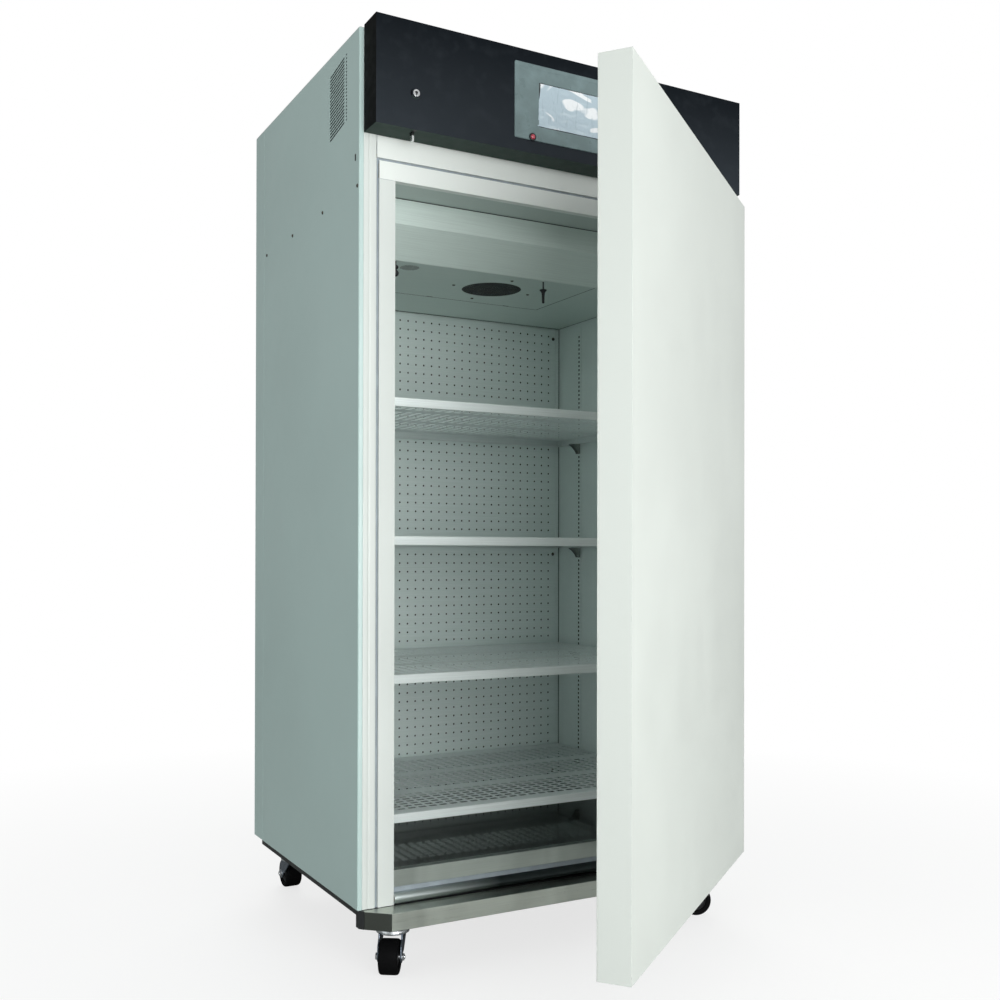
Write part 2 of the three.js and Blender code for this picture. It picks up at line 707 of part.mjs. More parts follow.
piece('status_lamp', join(
  cylinderY(9, LAMP_X, LAMP_Z, CONSOLE_FRONT - 5, CONSOLE_FRONT - GAP),
  cylinderY(6, LAMP_X, LAMP_Z, CONSOLE_FRONT - 9, CONSOLE_FRONT - 4),
), redLens());

const PLUG_FRONT = CONSOLE_FRONT - 5;

piece('lock_plug', cut(
  cylinderY(LOCK_R, LOCK_X, LOCK_Z, PLUG_FRONT, CONSOLE_FRONT + 18),
  box(LOCK_X - 1, LOCK_X + 1, PLUG_FRONT - 1, PLUG_FRONT + 7, LOCK_Z - 4.5, LOCK_Z + 4.5),
), stainless());

const BOLT_TOP = LOCK_Z - 22;
const BOLT_TRAVEL = 14;

piece('latch_bolt', box(LOCK_X - BOLT_W / 2, LOCK_X + BOLT_W / 2, BOLT_Y - BOLT_D / 2,
  BOLT_Y + BOLT_D / 2, BOLT_TIP, BOLT_TOP), stainless());

// ---------------------------------------------------------------- door

// The door is drawn closed, inside a group that turns it about its hinge pins.
const doorTurn = new THREE.Group();
doorTurn.position.set(HINGE_X, HINGE_Y, 0);
doorTurn.rotation.z = THREE.MathUtils.degToRad(DOOR_OPEN_DEG);
incubator.add(doorTurn);
const door = new THREE.Group();
door.position.set(-HINGE_X, -HINGE_Y, 0);
doorTurn.add(door);

const PIN_DEPTH = 16;
const keeperSlot = box(LOCK_X - 5, LOCK_X + 5, BOLT_Y - 9, BOLT_Y + 9, DOOR_TOP - BOLT_TRAVEL - 12,
  DOOR_TOP + 1);

function hingeHole(z0, z1) {
  return cylinderZ(holeRadius(HINGE_PIN_R), HINGE_X, HINGE_Y, z0, z1);
}

const PANEL_T = 2;
const SKIN_REAR = DOOR_INNER - PANEL_T - GAP;

piece('door_outer_skin', cut(
  box(DOOR_FREE_EDGE, DOOR_HINGE_EDGE, DOOR_OUTER, SKIN_REAR, DOOR_BOTTOM, DOOR_TOP),
  box(DOOR_FREE_EDGE + SHEET, DOOR_HINGE_EDGE - SHEET, DOOR_OUTER + SHEET, SKIN_REAR + 1,
    DOOR_BOTTOM + SHEET, DOOR_TOP - SHEET),
  keeperSlot,
  hingeHole(DOOR_BOTTOM - 1, DOOR_BOTTOM + 3),
  hingeHole(DOOR_TOP - 3, DOOR_TOP + 1),
), whiteEnamel(), door);

const PLATEAU_HALF = 422;
const PLATEAU_BOTTOM = 248;
const PLATEAU_TOP = 1778;
const PLATEAU_RISE = 7;

piece('door_inner_panel', join(
  box(DOOR_FREE_EDGE, DOOR_HINGE_EDGE, DOOR_INNER - PANEL_T, DOOR_INNER, DOOR_BOTTOM, DOOR_TOP),
  box(-PLATEAU_HALF, PLATEAU_HALF, DOOR_INNER - 0.5, DOOR_INNER + PLATEAU_RISE,
    PLATEAU_BOTTOM, PLATEAU_TOP),
), whiteEnamel(), door);

const FILL = SHEET + 0.5;

piece('door_insulation', cut(
  box(DOOR_FREE_EDGE + FILL, DOOR_HINGE_EDGE - FILL, DOOR_OUTER + FILL, SKIN_REAR - 0.3,
    DOOR_BOTTOM + FILL, DOOR_TOP - FILL),
  keeperSlot,
  cylinderZ(8, HINGE_X, HINGE_Y, DOOR_BOTTOM - 1, DOOR_BOTTOM + PIN_DEPTH + 6),
  cylinderZ(8, HINGE_X, HINGE_Y, DOOR_TOP - PIN_DEPTH - 6, DOOR_TOP + 1),
), foam(), door);

const GASKET_OUT = 466;
const GASKET_IN = 446;
const GASKET_BOTTOM = 203;
const GASKET_TOP = 1822;
const GASKET_W = GASKET_OUT - GASKET_IN;

piece('door_gasket', cut(
  box(-GASKET_OUT, GASKET_OUT, DOOR_INNER + GAP, FRONT - 0.5, GASKET_BOTTOM, GASKET_TOP),
  box(-GASKET_IN, GASKET_IN, DOOR_INNER, FRONT, GASKET_BOTTOM + GASKET_W, GASKET_TOP - GASKET_W),
), greyGasket(), door);

// ---------------------------------------------------------------- hinges

const LEAF_FACE = FRONT - GAP;
const LEAF_T = 3;
const LEAF_LEFT = STILE_EDGE + 4;
const LEAF_RIGHT = HALF_W - 2;
const ARM_T = 4;

// An angle bracket on the outer stile with an upright pin under or over its arm.
function hingeBracket(armBottom, leafBottom, leafTop, pinBottom, pinTop) {
  const leaf = box(LEAF_LEFT, LEAF_RIGHT, LEAF_FACE - LEAF_T, LEAF_FACE, leafBottom, leafTop);
  const arm = prismZ([
    [LEAF_LEFT, LEAF_FACE],
    [LEAF_RIGHT, LEAF_FACE],
    [LEAF_RIGHT, HINGE_Y],
    [HINGE_X + 11, HINGE_Y - 12],
    [HINGE_X - 11, HINGE_Y - 12],
    [LEAF_LEFT, HINGE_Y],
  ], armBottom, armBottom + ARM_T);
  return join(leaf, arm, cylinderZ(HINGE_PIN_R, HINGE_X, HINGE_Y, pinBottom, pinTop));
}

const TOP_ARM = DOOR_TOP + 6;
piece('top_hinge', hingeBracket(TOP_ARM, TOP_ARM - 34, TOP_ARM + ARM_T, DOOR_TOP - PIN_DEPTH,
  TOP_ARM + 1), zincSteel());

const BOTTOM_ARM = DOOR_BOTTOM - 9;
piece('bottom_hinge', hingeBracket(BOTTOM_ARM, BOTTOM_ARM, BOTTOM_ARM + 34, BOTTOM_ARM + 3,
  DOOR_BOTTOM + PIN_DEPTH), zincSteel());

// ---------------------------------------------------------------- bumper and base pan

function bumperOutline(inwards) {
  const half = BUMPER_END_X - inwards;
  const corner = BUMPER_CORNER_X - 0.4 * inwards;
  const front = BUMPER_FRONT + inwards;
  const end = BUMPER_END_Y + 0.6 * inwards;
  const back = FRONT - GAP - inwards;
  return [[-half, back], [-half, end], [-corner, front], [corner, front], [half, end],
    [half, back]];
}

piece('bumper', cut(
  prismZ(bumperOutline(0), BUMPER_BOTTOM, BUMPER_TOP),
  prismZ(bumperOutline(SHEET), BUMPER_BOTTOM - 1, BUMPER_TOP - SHEET),
), stainless());

const casterPlaces = [
  ['fl', -CASTER_X, CASTER_FRONT_Y, 213],
  ['fr', CASTER_X, CASTER_FRONT_Y, 119],
  ['rl', -CASTER_X, CASTER_REAR_Y, 0],
  ['rr', CASTER_X, CASTER_REAR_Y, 20],
];

function basePan() {
  const pan = cut(
    box(-PAN_HALF, PAN_HALF, FRONT + 0.5, PAN_REAR, PAN_BOTTOM, SHELL_BOTTOM),
    box(-PAN_HALF + 3, PAN_HALF - 3, FRONT + 4, PAN_REAR - 3, PAN_BOTTOM - 1, PAN_FACE),
  );
  const caps = SIDES.map(([, side]) => prismZ(onSide([
    [-PAN_HALF, FRONT + 17],
    [-PAN_HALF, FRONT],
    [-BUMPER_END_X - GAP, BUMPER_END_Y],
    [-BUMPER_END_X - GAP, FRONT + 17],
  ], side), BUMPER_BOTTOM, BUMPER_TOP));
  const mounts = casterPlaces.flatMap(([, x, y]) => [
    box(x - 52, x + 52, y - 44, Math.min(y + 44, BACK - 8), CASTER_PLATE_BOTTOM, SHELL_BOTTOM - 1),
    cylinderZ(32, x, y, CROWN_TOP + GAP, CASTER_PLATE_BOTTOM + 1),
  ]);
  return join(pan, ...caps, ...mounts);
}

piece('base_pan', basePan(), blackPaint());

// ---------------------------------------------------------------- casters

// Each caster is drawn about its swivel axis, with the wheel trailing along +Y.
const AXLE_Z = WHEEL_R * Math.cos(Math.PI / ROUND_SEGMENTS);
const LEG_IN = WHEEL_W / 2 + 3;
const LEG_OUT = LEG_IN + 4;

function casterFork() {
  const crown = cylinderZ(38, 0, 0, CROWN_BOTTOM, CROWN_TOP);
  const leg = [
    [-26, CROWN_BOTTOM + 3],
    [30, CROWN_BOTTOM + 3],
    [WHEEL_TRAIL + 14, AXLE_Z + 6],
    [WHEEL_TRAIL + 10, AXLE_Z - 10],
    [WHEEL_TRAIL - 8, AXLE_Z - 12],
    [WHEEL_TRAIL - 15, AXLE_Z],
  ];
  const axle = cylinderX(AXLE_R, WHEEL_TRAIL, AXLE_Z, -LEG_OUT - 1, LEG_OUT + 1);
  const heads = [-1, 1].map((side) => cylinderX(9, WHEEL_TRAIL, AXLE_Z,
    side < 0 ? -LEG_OUT - 6 : LEG_OUT - 1, side < 0 ? -LEG_OUT + 1 : LEG_OUT + 6, 6));
  return join(crown, prismX(leg, -LEG_OUT, -LEG_IN), prismX(leg, LEG_IN, LEG_OUT), axle, ...heads);
}

// A tyre and hub in one, with its axis along X and one flat facet on the floor.
function casterWheel() {
  const half = WHEEL_W / 2;
  const bore = holeRadius(AXLE_R);
  const outline = [
    [bore, -half],
    [15, -half],
    [17, -half + 4],
    [27, -half + 4],
    [30, -half],
    [WHEEL_R - 3, -half],
    [WHEEL_R, -half + 3],
    [WHEEL_R, half - 3],
    [WHEEL_R - 3, half],
    [30, half],
    [27, half - 4],
    [17, half - 4],
    [15, half],
    [bore, half],
    [bore, -half],
  ].map(([r, a]) => new THREE.Vector2(r, a));
  const wheel = new THREE.LatheGeometry(outline, ROUND_SEGMENTS);
  wheel.rotateY(Math.PI / ROUND_SEGMENTS);
  return wheel.rotateZ(Math.PI / 2).translate(0, WHEEL_TRAIL, AXLE_Z);
}

for (const [name, x, y, heading] of casterPlaces) {
  const caster = new THREE.Group();
  caster.position.set(x, y, 0);
  caster.rotation.z = -THREE.MathUtils.degToRad(heading);
  incubator.add(caster);
  piece(`caster_fork_${name}`, casterFork(), zincSteel(), caster);
  piece(`caster_wheel_${name}`, casterWheel(), rubberBlack(), caster);
}

const model = new THREE.Group();
incubator.position.z = -PAN_FACE;
model.add(incubator);

export default model;
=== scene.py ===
import json
import math

import bmesh
import bpy
from mathutils import Matrix, Vector, noise


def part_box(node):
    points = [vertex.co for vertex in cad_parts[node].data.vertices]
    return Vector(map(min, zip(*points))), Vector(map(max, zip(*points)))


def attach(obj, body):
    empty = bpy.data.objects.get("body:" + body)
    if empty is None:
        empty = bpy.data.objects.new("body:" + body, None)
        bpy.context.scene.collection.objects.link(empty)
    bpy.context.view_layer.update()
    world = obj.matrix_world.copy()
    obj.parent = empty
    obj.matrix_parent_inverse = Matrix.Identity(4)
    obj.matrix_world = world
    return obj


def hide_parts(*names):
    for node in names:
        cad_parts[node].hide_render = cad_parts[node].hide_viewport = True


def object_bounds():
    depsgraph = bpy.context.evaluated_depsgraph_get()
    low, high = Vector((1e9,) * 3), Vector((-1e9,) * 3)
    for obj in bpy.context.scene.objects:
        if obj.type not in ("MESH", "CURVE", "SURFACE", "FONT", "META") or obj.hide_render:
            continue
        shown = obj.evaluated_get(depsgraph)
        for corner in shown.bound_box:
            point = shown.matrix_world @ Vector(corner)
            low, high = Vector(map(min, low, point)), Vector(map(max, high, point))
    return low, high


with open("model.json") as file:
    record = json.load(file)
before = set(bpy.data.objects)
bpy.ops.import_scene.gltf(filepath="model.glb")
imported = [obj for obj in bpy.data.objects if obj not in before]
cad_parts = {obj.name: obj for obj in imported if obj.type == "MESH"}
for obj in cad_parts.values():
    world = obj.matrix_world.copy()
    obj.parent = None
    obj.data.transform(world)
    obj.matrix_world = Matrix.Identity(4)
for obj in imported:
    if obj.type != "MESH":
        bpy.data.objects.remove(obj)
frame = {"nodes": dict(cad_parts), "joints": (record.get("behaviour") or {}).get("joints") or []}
CAD_BOX = [list(corner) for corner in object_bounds()]
NODES = frame["nodes"]
JOINTS = {joint["name"]: joint for joint in frame["joints"]}
FLOOR = CAD_BOX[0][2]


# ---------------------------------------------------------------- materials

class Finish:
    """A node material around one Principled shader, in the object's own metres."""

    def __init__(self, name, color, roughness, metallic=0.0):
        self.material = bpy.data.materials.new(name)
        self.material.use_nodes = True
        self.tree = self.material.node_tree
        self.shader = self.tree.nodes["Principled BSDF"]
        self.coords = self.node("ShaderNodeTexCoord").outputs["Object"]
        self.normal = None
        self.put("Base Color", (*color, 1))
        self.put("Roughness", roughness)
        self.put("Metallic", metallic)

    def node(self, kind, **settings):
        made = self.tree.nodes.new(kind)
        for key, value in settings.items():
            setattr(made, key, value)
        return made

    def put(self, socket, value):
        self.feed(self.shader.inputs[socket], value)

    def feed(self, target, value):
        if isinstance(value, bpy.types.NodeSocket):
            self.tree.links.new(value, target)
        else:
            target.default_value = value

    def noise(self, scale, detail=2.0, stretch=(1, 1, 1), distortion=0.0):
        mapping = self.node("ShaderNodeMapping")
        self.tree.links.new(self.coords, mapping.inputs["Vector"])
        mapping.inputs["Scale"].default_value = stretch
        made = self.node("ShaderNodeTexNoise")
        self.tree.links.new(mapping.outputs["Vector"], made.inputs["Vector"])
        made.inputs["Scale"].default_value = scale
        made.inputs["Detail"].default_value = detail
        made.inputs["Distortion"].default_value = distortion
        return made.outputs["Fac"]

    def voronoi(self, scale):
        made = self.node("ShaderNodeTexVoronoi")
        self.tree.links.new(self.coords, made.inputs["Vector"])
        made.inputs["Scale"].default_value = scale
        return made.outputs["Distance"]

    def spread(self, value, low, high, out_low=0.0, out_high=1.0):
        made = self.node("ShaderNodeMapRange")
        self.feed(made.inputs["Value"], value)
        made.inputs["From Min"].default_value = low
        made.inputs["From Max"].default_value = high
        made.inputs["To Min"].default_value = out_low
        made.inputs["To Max"].default_value = out_high
        return made.outputs["Result"]

    def mix(self, factor, first, second):
        made = self.node("ShaderNodeMix", data_type="RGBA")
        self.feed(made.inputs["Factor"], factor)
        for socket, value in ((made.inputs["A"], first), (made.inputs["B"], second)):
            self.feed(socket, (*value, 1) if isinstance(value, tuple) else value)
        return made.outputs["Result"]

    def axis(self, index):
        made = self.node("ShaderNodeSeparateXYZ")
        self.tree.links.new(self.coords, made.inputs["Vector"])
        return made.outputs[index]

    def facing_axis(self, index, sign):
        """1 where the surface looks along the axis, 0 where it looks across or away."""
        made = self.node("ShaderNodeSeparateXYZ")
        self.tree.links.new(self.node("ShaderNodeTexCoord").outputs["Normal"], made.inputs["Vector"])
        return self.spread(made.outputs[index], sign * 0.45, sign * 0.6)

    def bump(self, height, strength, distance):
        made = self.node("ShaderNodeBump")
        made.inputs["Strength"].default_value = strength
        made.inputs["Distance"].default_value = distance
        self.tree.links.new(height, made.inputs["Height"])
        if self.normal is not None:
            self.tree.links.new(self.normal, made.inputs["Normal"])
        self.normal = made.outputs["Normal"]
        self.put("Normal", self.normal)


def quads(rows, columns, wrap_rows=False, wrap_columns=False):
    """Faces over a grid of points stored row by row; a wrapped side joins its end to its start."""
    last_row = rows if wrap_rows else rows - 1
    last_column = columns if wrap_columns else columns - 1
    faces = []
    for i in range(last_row):
        for j in range(last_column):
            below, beside = (i + 1) % rows * columns, (j + 1) % columns
            faces.append([i * columns + j, i * columns + beside, below + beside, below + j])
    return faces


def shade(color, factor):
    return tuple(min(1.0, channel * factor) for channel in color)


def enamel(name, color, roughness=0.4, texture=1.0, painted_left_shade=1.0):
    """Powder coat: faint cloudiness, orange peel, a fine speckle and a soft clear gloss; faces looking
    towards -x can be darkened as painted shade.
    """
    made = Finish(name, color, roughness)
    cloud = made.spread(made.noise(2.2, 3), 0.35, 0.65)
    speck = made.spread(made.noise(1400, 1), 0.3, 0.75)
    body = made.mix(cloud, shade(color, 0.965), shade(color, 1.015))
    # painted shade: faces looking towards -x are darkened
    if painted_left_shade < 1:
        body = made.mix(made.facing_axis(0, -1), body, shade(color, painted_left_shade))
    made.put("Base Color", made.mix(made.spread(speck, 0, 1, 0, 0.12), body, shade(color, 0.86)))
    made.put("Roughness", made.spread(made.noise(9, 4), 0.3, 0.7, roughness - 0.05, roughness + 0.07))
    made.put("Coat Weight", 0.12)
    made.put("Coat Roughness", 0.25)
    made.bump(made.noise(420, 2), 0.05 * texture, 0.0006)
    made.bump(made.noise(2100, 1), 0.05 * texture, 0.0002)
    return made.material


def brushed(name, color, roughness, grain=(2, 260, 260), metallic=1.0, strength=0.12, patches=0.0,
            painted_left_shade=1.0, under=1.0):
    """Brushed sheet: fine lines move colour, gloss and bump; patches are wide, soft painted reflections,
    and faces looking towards -x or downwards can be darkened as painted shade.
    """
    made = Finish(name, color, roughness, metallic)
    lines = made.noise(4, 6, grain)
    haze = made.spread(made.noise(3, 3), 0.3, 0.7)
    tone = made.mix(made.spread(lines, 0.25, 0.75), shade(color, 0.9), shade(color, 1.08))
    tone = made.mix(made.spread(haze, 0, 1, 0, 0.25), tone, shade(color, 0.93))
    # painted reflections: wide soft patches darken the colour
    if patches:
        wide = made.spread(made.noise(5.5, 2, (1, 0.3, 0.3), 0.8), 0.38, 0.6, 0, patches)
        tone = made.mix(wide, tone, shade(color, 0.45))
    # painted shade: faces looking towards -x are darkened
    if painted_left_shade < 1:
        tone = made.mix(made.facing_axis(0, -1), tone, shade(color, painted_left_shade))
    # painted shade: faces looking downwards are darkened
    if under < 1:
        tone = made.mix(made.facing_axis(2, -1), tone, shade(color, under))
    made.put("Base Color", tone)
    made.put("Roughness", made.spread(lines, 0.2, 0.8, roughness - 0.07, roughness + 0.09))
    made.put("Anisotropic", 0.45)
    made.bump(lines, strength, 0.0002)
    return made.material


def plated(name, color, roughness):
    """Zinc plate: a cloudy spangle with a faint blue and straw tint."""
    made = Finish(name, color, roughness, 1.0)
    cloud = made.spread(made.noise(70, 5), 0.35, 0.65)
    tint = made.mix(cloud, shade(color, 0.85), (color[0] * 1.05, color[1] * 1.03, color[2]))
    spots = made.spread(made.noise(520, 2), 0.55, 0.7)
    made.put("Base Color", made.mix(made.spread(spots, 0, 1, 0, 0.3), tint, (0.5, 0.56, 0.66)))
    made.put("Roughness", made.spread(made.noise(160, 4), 0.3, 0.7, roughness - 0.08, roughness + 0.12))
    made.bump(made.noise(900, 2), 0.06, 0.0002)
    return made.material


def moulded(name, color, roughness, grain=1600, depth=0.15, shine=0.4):
    """Moulded plastic or rubber: a fine grain and a dusty, uneven sheen."""
    made = Finish(name, color, roughness)
    dust = made.spread(made.noise(26, 4), 0.45, 0.8)
    made.put("Base Color", made.mix(made.spread(dust, 0, 1, 0, 0.35), color, shade(color, 1.9)))
    made.put("Roughness", made.spread(made.noise(40, 4), 0.3, 0.7, roughness - 0.06, roughness + 0.1))
    made.put("Specular IOR Level", shine)
    made.bump(made.noise(grain, 3), depth, 0.0003)
    return made.material


def console_material():
    """Matt black sheet with painted light: paler towards its lower edge, with painted shade on faces
    looking towards -x and a painted greenish reflection underneath.
    """
    made = Finish("console_black", (0.012, 0.015, 0.019), 0.55)
    low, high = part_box("console_cover")
    # painted light: the lower edge is painted paler than the top
    height = made.spread(made.axis(2), low.z, high.z)
    body = made.mix(height, (0.023, 0.028, 0.034), (0.004, 0.006, 0.0085))
    dust = made.spread(made.noise(26, 4), 0.5, 0.85, 0, 0.3)
    body = made.mix(dust, body, (0.034, 0.040, 0.047))
    # painted shade on faces looking towards -x
    body = made.mix(made.facing_axis(0, -1), body, (0.0035, 0.0042, 0.0045))
    # painted reflection: the underside is painted a pale greenish grey
    made.put("Base Color", made.mix(made.facing_axis(2, -1), body, (0.05, 0.072, 0.063)))
    made.put("Roughness", made.spread(made.noise(40, 4), 0.3, 0.7, 0.5, 0.64))
    made.put("Specular IOR Level", 0.05)
    made.bump(made.noise(1900, 3), 0.08, 0.0003)
    return made.material


def roll_material():
    """Polished roll with a painted reflection: pale at its left end, running to black towards the middle.
    """
    made = Finish("roll_steel", (0.02, 0.024, 0.024), 0.24, 1.0)
    # painted reflection: pale at the left end, black towards the middle
    along = made.spread(made.axis(0), -0.44, -0.16)
    tone = made.mix(along, (0.86, 0.93, 0.93), (0.055, 0.066, 0.068))
    haze = made.spread(made.noise(4, 1), 0.35, 0.65, 0, 0.08)
    made.put("Base Color", made.mix(haze, tone, (0.04, 0.048, 0.05)))
    made.put("Roughness", made.spread(made.noise(8, 2), 0.3, 0.7, 0.3, 0.36))
    return made.material


def bolt_material():
    """Steel latch bolt painted black and not metallic above its bright tip, as painted shade in the slot.
    """
    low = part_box("latch_bolt")[0]
    made = Finish("bolt_steel", (0.7, 0.72, 0.72), 0.26, 1.0)
    # painted shade: the bolt is black and not metallic above its tip
    painted_shade_above_tip = made.spread(made.axis(2), low.z + 0.011, low.z + 0.013)
    grain = made.mix(made.noise(300, 3), (0.62, 0.64, 0.64), (0.82, 0.84, 0.84))
    made.put("Base Color", made.mix(painted_shade_above_tip, grain, (0.01, 0.012, 0.012)))
    made.put("Metallic", made.spread(painted_shade_above_tip, 0, 1, 1, 0))
    made.bump(made.noise(700, 2), 0.05, 0.0002)
    return made.material


def foamed(name, color):
    """Closed-cell insulation foam."""
    made = Finish(name, color, 0.9)
    cells = made.voronoi(420)
    made.put("Base Color", made.mix(made.spread(cells, 0, 0.9), shade(color, 0.72), color))
    made.put("Subsurface Weight", 0.1)
    made.bump(cells, 0.5, 0.0012)
    made.bump(made.noise(30, 5), 0.3, 0.004)
    return made.material


def gloss_black(name, color, roughness):
    """Dark gloss sheet: near mirror with fine wipe marks and a little dust."""
    made = Finish(name, color, roughness)
    wipe = made.noise(5, 5, (1, 3, 3), 0.6)
    made.put("Base Color", made.mix(made.spread(made.noise(700, 2), 0.66, 0.8, 0, 0.4), color,
                                    shade(color, 3.2)))
    made.put("Roughness", made.spread(wipe, 0.3, 0.7, roughness, roughness + 0.1))
    made.put("Specular IOR Level", 0.8)
    made.put("Coat Weight", 0.6)
    made.put("Coat Roughness", roughness * 0.6)
    made.bump(made.noise(60, 3), 0.03, 0.0006)
    return made.material


def film_material():
    """Clear protective film over an unlit display: folded and streaky, with pale sheets of painted
    reflection.
    """
    made = Finish("display_film", (0.75, 0.82, 0.85), 0.14)
    folds = made.noise(9, 1.5, (1.0, 1.0, 1.6), 1.6)
    # painted reflection: pale sheets along the folds
    sheets = made.spread(folds, 0.58, 0.62)
    streak = made.spread(made.noise(42, 2, (3.2, 1, 0.5), 1.0), 0.6, 0.64)
    pale = made.mix(sheets, (0.40, 0.49, 0.55), (0.78, 0.8, 0.82))
    made.put("Base Color", made.mix(made.spread(streak, 0, 1, 0, 0.3), pale, (0.24, 0.3, 0.34)))
    made.put("Roughness", made.spread(folds, 0.3, 0.7, 0.1, 0.25))
    made.put("Coat Weight", 0.5)
    made.put("Coat Roughness", 0.06)
    made.bump(made.noise(48, 3, (1.5, 1, 0.8), 1.5), 0.35, 0.002)
    return made.material


def lens_material():
    """Red moulded lens with small facets."""
    made = Finish("red_lens", (0.5, 0.035, 0.07), 0.12)
    facets = made.voronoi(900)
    made.put("Base Color", made.mix(made.spread(facets, 0, 0.7), (0.75, 0.12, 0.17), (0.3, 0.01, 0.03)))
    made.put("Coat Weight", 0.8)
    made.put("Roughness", made.spread(facets, 0, 1, 0.08, 0.2))
    made.bump(facets, 0.2, 0.0004)
    return made.material


WHITE = enamel("white_enamel", (0.66, 0.69, 0.665), 0.36)
# painted light: the same white enamel, painted paler for the header panels under the console
PAINTED_LIGHT_WHITE = enamel("white_enamel_painted_light", (0.79, 0.82, 0.79), 0.36)
# painted shade: faces looking towards -x, such as the door's free edge, are darkened
DOOR_WHITE = enamel("door_enamel", (0.68, 0.71, 0.675), 0.46, 1.3, 0.84)
# painted shade: the same white enamel painted darker and greener for the side and rear sheets
SHADED_WHITE = enamel("grey_enamel", (0.475, 0.605, 0.585), 0.33)
# painted reflections in wide patches; on the bumper also painted shade on faces looking towards -x
SILL_STEEL = brushed("sill_steel", (0.50, 0.55, 0.51), 0.33, patches=0.5)
BUMPER_STEEL = brushed("bumper_steel", (0.60, 0.64, 0.58), 0.31, patches=0.4, painted_left_shade=0.2)
# painted shade: faces looking downwards, such as the ceiling, are darkened
LINER = brushed("liner_steel", (0.86, 0.97, 0.93), 0.42, (2, 200, 200), 0.15, 0.04, under=0.6)
# painted shade: the liner steel painted darker for the plenum and fan panel
SHADED_LINER = brushed("liner_steel_painted_shade", (0.66, 0.755, 0.715), 0.42, (2, 200, 200), 0.15, 0.04)
SHELF = brushed("shelf_steel", (0.85, 0.91, 0.90), 0.36, (2, 240, 240), 0.25, 0.04)
ZINC = plated("zinc_steel", (0.62, 0.64, 0.67), 0.28)
CHROME = plated("lock_chrome", (0.74, 0.755, 0.77), 0.22)
LEG_STEEL = plated("leg_steel", (0.17, 0.20, 0.25), 0.34)
# painted shade: the clips' zinc plate painted darker
CLIP_ZINC_SHADED = plated("clip_zinc_painted_shade", (0.30, 0.32, 0.31), 0.4)
PORT_STEEL = plated("port_steel", (0.42, 0.45, 0.44), 0.36)
ALUMINIUM = brushed("fin_aluminium", (0.66, 0.68, 0.7), 0.36, (200, 200, 3))
BLACK_PAINT = moulded("black_paint", (0.012, 0.013, 0.014), 0.42, 1200, 0.08)
BLACK_PLASTIC = moulded("black_plastic", (0.016, 0.016, 0.018), 0.5)
CONSOLE = console_material()
BEZEL = moulded("bezel_grey", (0.135, 0.185, 0.19), 0.3, 2200, 0.04, 0.3)
DARK_STEEL = gloss_black("dark_steel", (0.012, 0.014, 0.014), 0.07)
ROLL_STEEL = roll_material()
BOLT_STEEL = bolt_material()
GASKET = moulded("grey_gasket", (0.27, 0.31, 0.34), 0.6)
TYRE = moulded("black_tyre", (0.003, 0.003, 0.0033), 0.7, 1300, 0.25, 0.06)
FOAM = foamed("foam", (0.72, 0.6, 0.3))
BRONZE = plated("dark_bronze", (0.09, 0.075, 0.06), 0.4)
COPPER = brushed("copper_tube", (0.72, 0.36, 0.22), 0.3, (4, 200, 200))
FILM = film_material()
LENS = lens_material()


# ---------------------------------------------------------------- geometry

